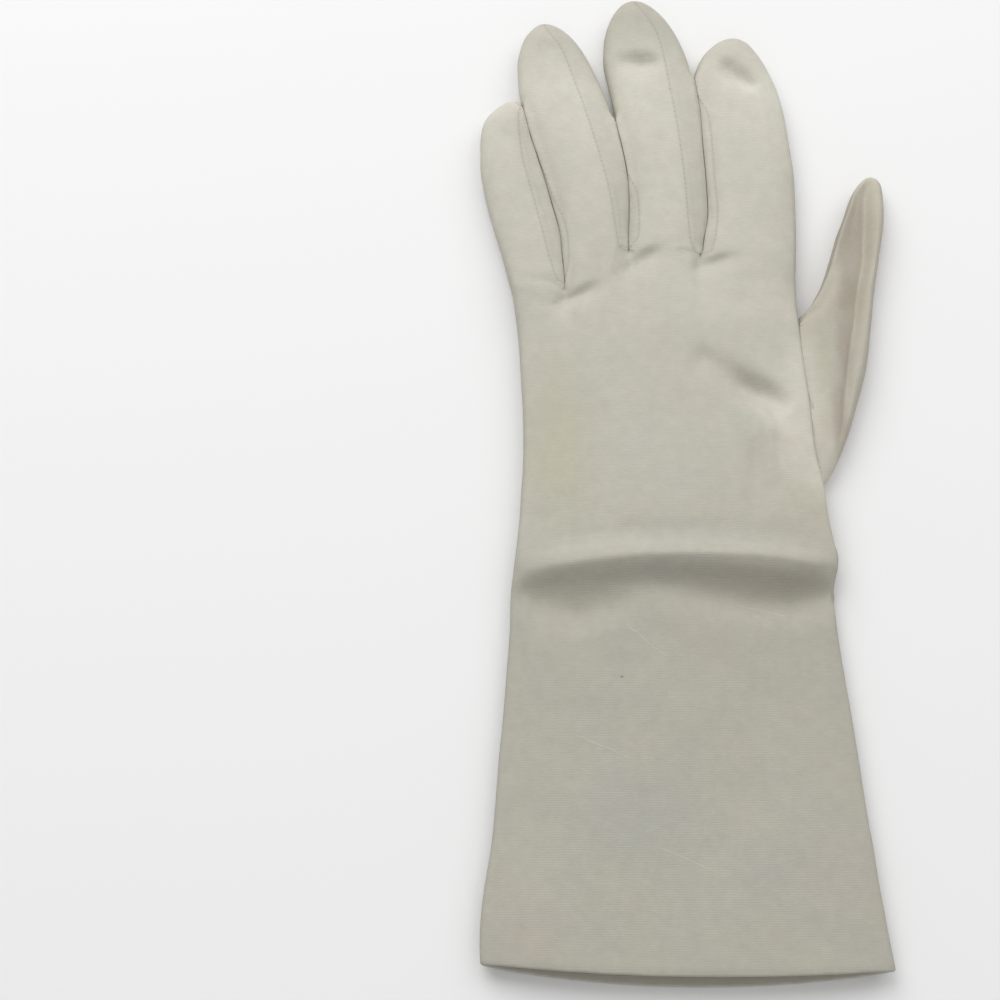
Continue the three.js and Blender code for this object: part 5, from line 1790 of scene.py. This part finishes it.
def stained_and_shaded(place, colour):
    """Lay the stains, the soil, the painted shade in folds and the faint blush over the cloth's colour."""
    tree = place.tree
    colours = bpy.context.scene.glove_colours
    for tone in TONES:
        inputs = {
            "Place": place, "X": tone["x"] * MM, "Y": tone["y"] * MM, "Width": tone["width"] * MM,
            "Length": tone["length"] * MM, "Strength": tone["strength"],
        }
        spot = new_value(tree, "ShaderNodeGroup", inputs, node_tree=spot_group())
        colour = blend_colour(tree, spot, colour, opaque(getattr(colours, tone["colour"])))
    soiled = place.noise("soil").step(*SOIL_STEP) * SOIL_SHARE
    colour = blend_colour(tree, soiled, colour, opaque(colours.soil))
    blush = place.noise("blush").step(*BLUSH_STEP)
    tint = blend_colour(tree, blush, opaque(colours.cool_stain), opaque(colours.warm_stain))
    return blend_colour(tree, BLUSH_SHARE, colour, tint)


def shaded(place, knit_tone, seam, normal):
    """The brightness of the cloth: its knit, its mottle, and the painted shade at its seams and on its sides.
    """
    mottle = place.noise("mottle")
    shade = knit_tone.step(*KNIT_STEP) * KNIT_SHADE + (1 - KNIT_SHADE / 2)
    shade = shade * (mottle * MOTTLE_SHADE + (1 - MOTTLE_SHADE / 2))
    shade = shade * (seam.step(*SEAM_STEP) * SEAM_SHADE + (1 - SEAM_SHADE))
    shade = shade * (normal.parts()[2].step(*SIDE_STEP) * SIDE_SHADE + (1 - SIDE_SHADE))
    return new_value(place.tree, "ShaderNodeCombineColor", {0: shade, 1: shade, 2: shade})


def cloth_material(name, piece_colour, ridge=0.0):
    """Knitted nylon: courses and loops, soft uneven tone, soil at the tips and stains."""
    sizes = bpy.context.scene.glove_sizes
    material, tree, shader = new_material(name, {"Roughness": 0.8, "Specular IOR Level": 0.25})
    coordinates = add_node(tree, "ShaderNodeTexCoord", {})
    place = Value(tree, coordinates.outputs["Object"])
    normal = Value(tree, coordinates.outputs["Normal"])
    seam = new_value(tree, "ShaderNodeAttribute", {}, "Fac", attribute_name="seam_mm")
    inputs = {
        "Map": new_value(tree, "ShaderNodeUVMap", {}, uv_map="cloth"),
        "Course": sizes.knit_course / MM,
        "Wale": sizes.knit_wale / MM,
    }
    knit = add_node(tree, "ShaderNodeGroup", inputs, node_tree=knit_group())
    colours = bpy.context.scene.glove_colours
    colour = stained_and_shaded(place, aged_and_shaded(place, piece_colour, colours.cuff))
    height = Value(tree, knit.outputs["Height"]) * (sizes.knit_depth / MM)
    for thread in PULLED_THREADS:
        inputs = {
            "Place": place, "X": thread["x"] * MM, "Y": thread["y"] * MM,
            "Turn": -math.radians(thread["turn"]), "Length": thread["length"] * MM,
            "Width": thread["width"] * MM,
        }
        line = new_value(tree, "ShaderNodeGroup", inputs, node_tree=pulled_thread_group())
        colour = blend_colour(tree, line * PULLED_SHARE, colour, opaque(colours.cloth))
        height = height + line * PULLED_HEIGHT
    if ridge:
        height = height + seam.step(*RIDGE_STEP) * ridge
    grey = shaded(place, Value(tree, knit.outputs["Tone"]), seam, normal)
    colour = blend_colour(tree, 1.0, colour, grey, "MULTIPLY")
    tree.links.new(colour.socket, shader.inputs["Base Color"])
    bump = new_value(tree, "ShaderNodeBump", {"Strength": 1.0, "Distance": MM, "Height": height})
    tree.links.new(bump.socket, shader.inputs["Normal"])
    return material


def thread_material():
    """Sewing thread, with painted shade where its twist turns away."""
    thread = bpy.context.scene.glove_colours.thread
    material, tree, shader = new_material("sewing_thread", {"Roughness": 0.6})
    twist = new_value(tree, "ShaderNodeTexCoord", {}, "Object").noise("twist")
    dark = opaque([value * THREAD_DARK for value in thread])
    colour = blend_colour(tree, twist, dark, opaque(thread))
    tree.links.new(colour.socket, shader.inputs["Base Color"])
    inputs = {"Strength": 0.5, "Distance": THREAD_BUMP * MM, "Height": twist}
    tree.links.new(new_value(tree, "ShaderNodeBump", inputs).socket, shader.inputs["Normal"])
    return material


# Sizes and colours that a user would change

def length_property(name, description, default, least, most):
    return FloatProperty(
        name=name, description=description, default=default, min=least, max=most, unit="LENGTH", precision=5,
    )


def colour_property(name, description, default):
    return FloatVectorProperty(
        name=name, description=description, default=default, subtype="COLOR", size=3, min=0.0, max=1.0,
    )


class GloveSizes(bpy.types.PropertyGroup):
    """Sizes of the cloth, its knit and its stitches."""

    cloth: length_property("Cloth thickness", "One layer of knitted cloth", 0.0009, 0.0003, 0.002)
    hem: length_property("Hem thickness", "The cloth turned up inside the mouth", 0.0016, 0.0005, 0.003)
    stitch_pitch: length_property(
        "Stitch pitch", "From one stitch of a seam to the next", 0.0015, 0.0008, 0.004,
    )
    stitch_length: length_property(
        "Stitch length", "Length of the thread that bridges a seam", 0.0006, 0.0002, 0.002,
    )
    stitch_thickness: length_property(
        "Thread thickness", "Diameter of the sewing thread", 0.00016, 0.0001, 0.001,
    )
    stitch_depth: length_property(
        "Stitch depth", "How deep the stitches lie in the seam", 0.00003, 0.0, 0.001,
    )
    knit_course: length_property(
        "Knit course", "From one row of the knit to the next", 0.00064, 0.0002, 0.003,
    )
    knit_wale: length_property(
        "Knit wale", "From one loop of the knit to its neighbour", 0.0005, 0.0002, 0.003,
    )
    knit_depth: length_property("Knit depth", "How high the loops stand", 0.00003, 0.0, 0.0005)


class GloveColours(bpy.types.PropertyGroup):
    """Colours of the cloth, its wear and the thread."""

    cloth: colour_property("Cloth", "Off-white nylon of the hand and fingers", (0.775, 0.75, 0.65))
    strips: colour_property("Fourchettes", "Nylon between the fingers", (0.72, 0.697, 0.60))
    thumb: colour_property("Thumb", "Yellowed nylon of the thumb", (0.64, 0.59, 0.475))
    cuff: colour_property("Cuff", "Greyer nylon of the cuff", (0.465, 0.45, 0.38))
    cool_stain: colour_property("Cool stain", "Bluish bloom on the cuff", (0.40, 0.425, 0.40))
    warm_stain: colour_property("Warm stain", "Pinkish marks", (0.54, 0.46, 0.41))
    yellowed: colour_property("Yellowing", "Yellowed places", (0.54, 0.52, 0.37))
    # used for soil from handling, and for painted shade in the wrist's fold and along the thumb's crease
    soil: colour_property("Soil", "Grey-brown soil from handling", (0.45, 0.40, 0.33))
    speck: colour_property("Speck", "A dark speck on the cuff", (0.10, 0.09, 0.08))
    thread: colour_property("Thread", "Sewing thread", (0.44, 0.42, 0.36))


class GloveStage(bpy.types.PropertyGroup):
    """Camera, light and floor."""

    elevation: FloatProperty(
        name="Camera elevation", description="Angle of the camera above the floor",
        default=math.radians(75), min=0.1, max=math.pi / 2, subtype="ANGLE",
    )
    distance: FloatProperty(
        name="Camera distance", description="From the camera to the point that it looks at",
        default=0.540, min=0.2, max=5.0, unit="LENGTH",
    )
    floor: colour_property("Floor", "Colour of the plain floor", (0.95, 0.95, 0.95))
    key_power: FloatProperty(
        name="Light power", description="Power of which each of the three lights has a share",
        default=12.9, min=0.0, max=500.0, unit="POWER",
    )
    sky: FloatProperty(
        name="Sky light", description="Strength of the even light from all round",
        default=0.45, min=0.0, max=5.0,
    )


# The pieces: the flat size of their cloth in metres, its area, and their parts of the surface.
PIECES = {
    row["node"]: row for row in table(
        "node width length area regions",
        ("hand_panel", 0.220, 0.285, 0.0454, (BACK, PALM, FOLD)),
        ("fourchette_ring_little", 0.013, 0.150, 0.00141, (RING_LITTLE,)),
        ("fourchette_middle_ring", 0.014, 0.152, 0.00173, (MIDDLE_RING,)),
        ("fourchette_index_middle", 0.013, 0.166, 0.00182, (INDEX_MIDDLE,)),
        ("thumb", 0.085, 0.108, 0.00545, (THUMB,)),
    )
}

# The stage, in metres.
FLOOR_SIZE = 4.0
LENS = 70.0
SENSOR = 36.0
NEAREST_SEEN = 0.01
LOOK_AT = Vector((-0.05278, -0.01200, 0.0051))
LIGHTS = table(
    "name x y z size share",
    ("key_light", -0.50, 0.94, 1.0, 1.3, 0.9),
    ("fill_light", 0.8, 0.9, 1.1, 1.4, 0.48),
    ("front_light", 0.1, -1.1, 0.7, 1.4, 0.07),
)


def add_piece(node, cloth, material):
    """Build one piece's wall, hide the imported part that it stands for, and attach it to the root body."""
    obj = build_wall(cloth, PIECES[node]["regions"], "glove_" + node)
    obj.data.materials.append(material)
    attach(obj, "root")
    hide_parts(node)
    return obj


def add_stitches(name, node, cloth, lines, material):
    """Sew along some lines and attach the stitches to the root body. The piece that they belong to is not
    used.
    """
    stitches = make_stitches(name, cloth, lines)
    stitches.data.materials.append(material)
    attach(stitches, "root")
    return stitches


def add_floor(colour):
    bpy.ops.object.select_all(action="DESELECT")
    bpy.ops.mesh.primitive_plane_add(size=FLOOR_SIZE, location=(0, 0, 0))
    floor = bpy.context.active_object
    floor.name = "floor"
    constants = {"Base Color": opaque(colour), "Roughness": 0.9, "Specular IOR Level": 0.1}
    floor.data.materials.append(new_material("plain_floor", constants)[0])
    floor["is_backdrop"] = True


def add_sky(strength):
    world = bpy.data.worlds.new("studio")
    world.use_nodes = True
    background = world.node_tree.nodes["Background"]
    background.inputs["Color"].default_value = (1.0, 1.0, 1.0, 1.0)
    background.inputs["Strength"].default_value = strength
    bpy.context.scene.world = world


def add_light(row, power):
    """A round soft light that faces the glove."""
    light = bpy.data.lights.new(row["name"], "AREA")
    light.shape = "DISK"
    light.size = row["size"]
    light.energy = power * row["share"]
    lamp = bpy.data.objects.new(row["name"], light)
    lamp.location = (row["x"], row["y"], row["z"])
    lamp.rotation_euler = (-lamp.location).to_track_quat("-Z", "Y").to_euler()
    bpy.context.scene.collection.objects.link(lamp)


def add_camera(elevation, distance):
    """A camera that looks across the glove from the side of the mouth, and down on it."""
    data = bpy.data.cameras.new("camera")
    data.lens = LENS
    data.sensor_width = SENSOR
    data.clip_start = NEAREST_SEEN
    camera = bpy.data.objects.new("camera", data)
    view = Vector((0, math.cos(elevation), -math.sin(elevation)))
    camera.location = LOOK_AT - view * distance
    camera.rotation_euler = (math.pi / 2 - elevation, 0, 0)
    bpy.context.scene.collection.objects.link(camera)
    bpy.context.scene.camera = camera


class GLOVE_OT_stage(bpy.types.Operator):
    """Add the floor, the lights and the camera"""
    bl_idname = "glove.stage"
    bl_label = "Stage"

    def execute(self, context):
        stage = context.scene.glove_stage
        add_floor(stage.floor)
        add_sky(stage.sky)
        for row in LIGHTS:
            add_light(row, stage.key_power)
        add_camera(stage.elevation, stage.distance)
        context.scene.view_settings.view_transform = "Standard"
        return {"FINISHED"}


class GLOVE_OT_hand_panel(bpy.types.Operator):
    """Add the main panel: the back, the folded edge, the palm and the hem"""
    bl_idname = "glove.hand_panel"
    bl_label = "Hand panel"

    def execute(self, context):
        cloth = whole_glove()[0]
        panel = add_piece("hand_panel", cloth, cloth_material("knit_hand", context.scene.glove_colours.cloth))
        side = [line for line in cloth.lines if line[0] == (BACK, PALM)]
        stitches = add_stitches("glove_side_seam_stitches", "hand_panel", cloth, side, thread_material())
        return {"FINISHED"}


class GLOVE_OT_fourchettes(bpy.types.Operator):
    """Add the three strips between the fingers"""
    bl_idname = "glove.fourchettes"
    bl_label = "Fourchettes"

    def execute(self, context):
        cloth = whole_glove()[0]
        knit = cloth_material("knit_fourchette", context.scene.glove_colours.strips, RIDGE_HEIGHT)
        thread = thread_material()
        for node, row in PIECES.items():
            region = row["regions"][0]
            if region not in STRIPS:
                continue
            strip = add_piece(node, cloth, knit)
            lines = [line for line in cloth.lines if region in line[0]]
            stitches = add_stitches(f"glove_{node}_stitches", node, cloth, lines, thread)
        return {"FINISHED"}


class GLOVE_OT_thumb(bpy.types.Operator):
    """Add the thumb, set into its hole in the palm"""
    bl_idname = "glove.thumb"
    bl_label = "Thumb"

    def execute(self, context):
        cloth = whole_glove()[1]
        thumb = add_piece("thumb", cloth, cloth_material("knit_thumb", context.scene.glove_colours.thumb))
        return {"FINISHED"}


class GLOVE_PT_sidebar(bpy.types.Panel):
    """The glove's pieces, sizes and colours"""
    bl_label = "Stretch Glove"
    bl_space_type = "VIEW_3D"
    bl_region_type = "UI"
    bl_category = "Glove"

    def draw(self, context):
        layout = self.layout
        for operator in OPERATORS:
            layout.operator(operator.bl_idname)
        for group in (context.scene.glove_sizes, context.scene.glove_colours, context.scene.glove_stage):
            box = layout.box()
            for name in group.__annotations__:
                box.prop(group, name)


OPERATORS = (GLOVE_OT_stage, GLOVE_OT_hand_panel, GLOVE_OT_fourchettes, GLOVE_OT_thumb)
CLASSES = (GloveSizes, GloveColours, GloveStage, *OPERATORS, GLOVE_PT_sidebar)


def register():
    for cls in CLASSES:
        bpy.utils.register_class(cls)
    bpy.types.Scene.glove_sizes = PointerProperty(type=GloveSizes)
    bpy.types.Scene.glove_colours = PointerProperty(type=GloveColours)
    bpy.types.Scene.glove_stage = PointerProperty(type=GloveStage)


def unregister():
    del bpy.types.Scene.glove_stage
    del bpy.types.Scene.glove_colours
    del bpy.types.Scene.glove_sizes
    for cls in reversed(CLASSES):
        bpy.utils.unregister_class(cls)


def main():
    register()
    bpy.ops.glove.stage()
    bpy.ops.glove.hand_panel()
    bpy.ops.glove.fourchettes()
    bpy.ops.glove.thumb()
    boxes = {"cad": CAD_BOX, "visual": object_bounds()}
    plain = {name: [list(corner) for corner in box] for name, box in boxes.items()}


if __name__ == "__main__":
    main()
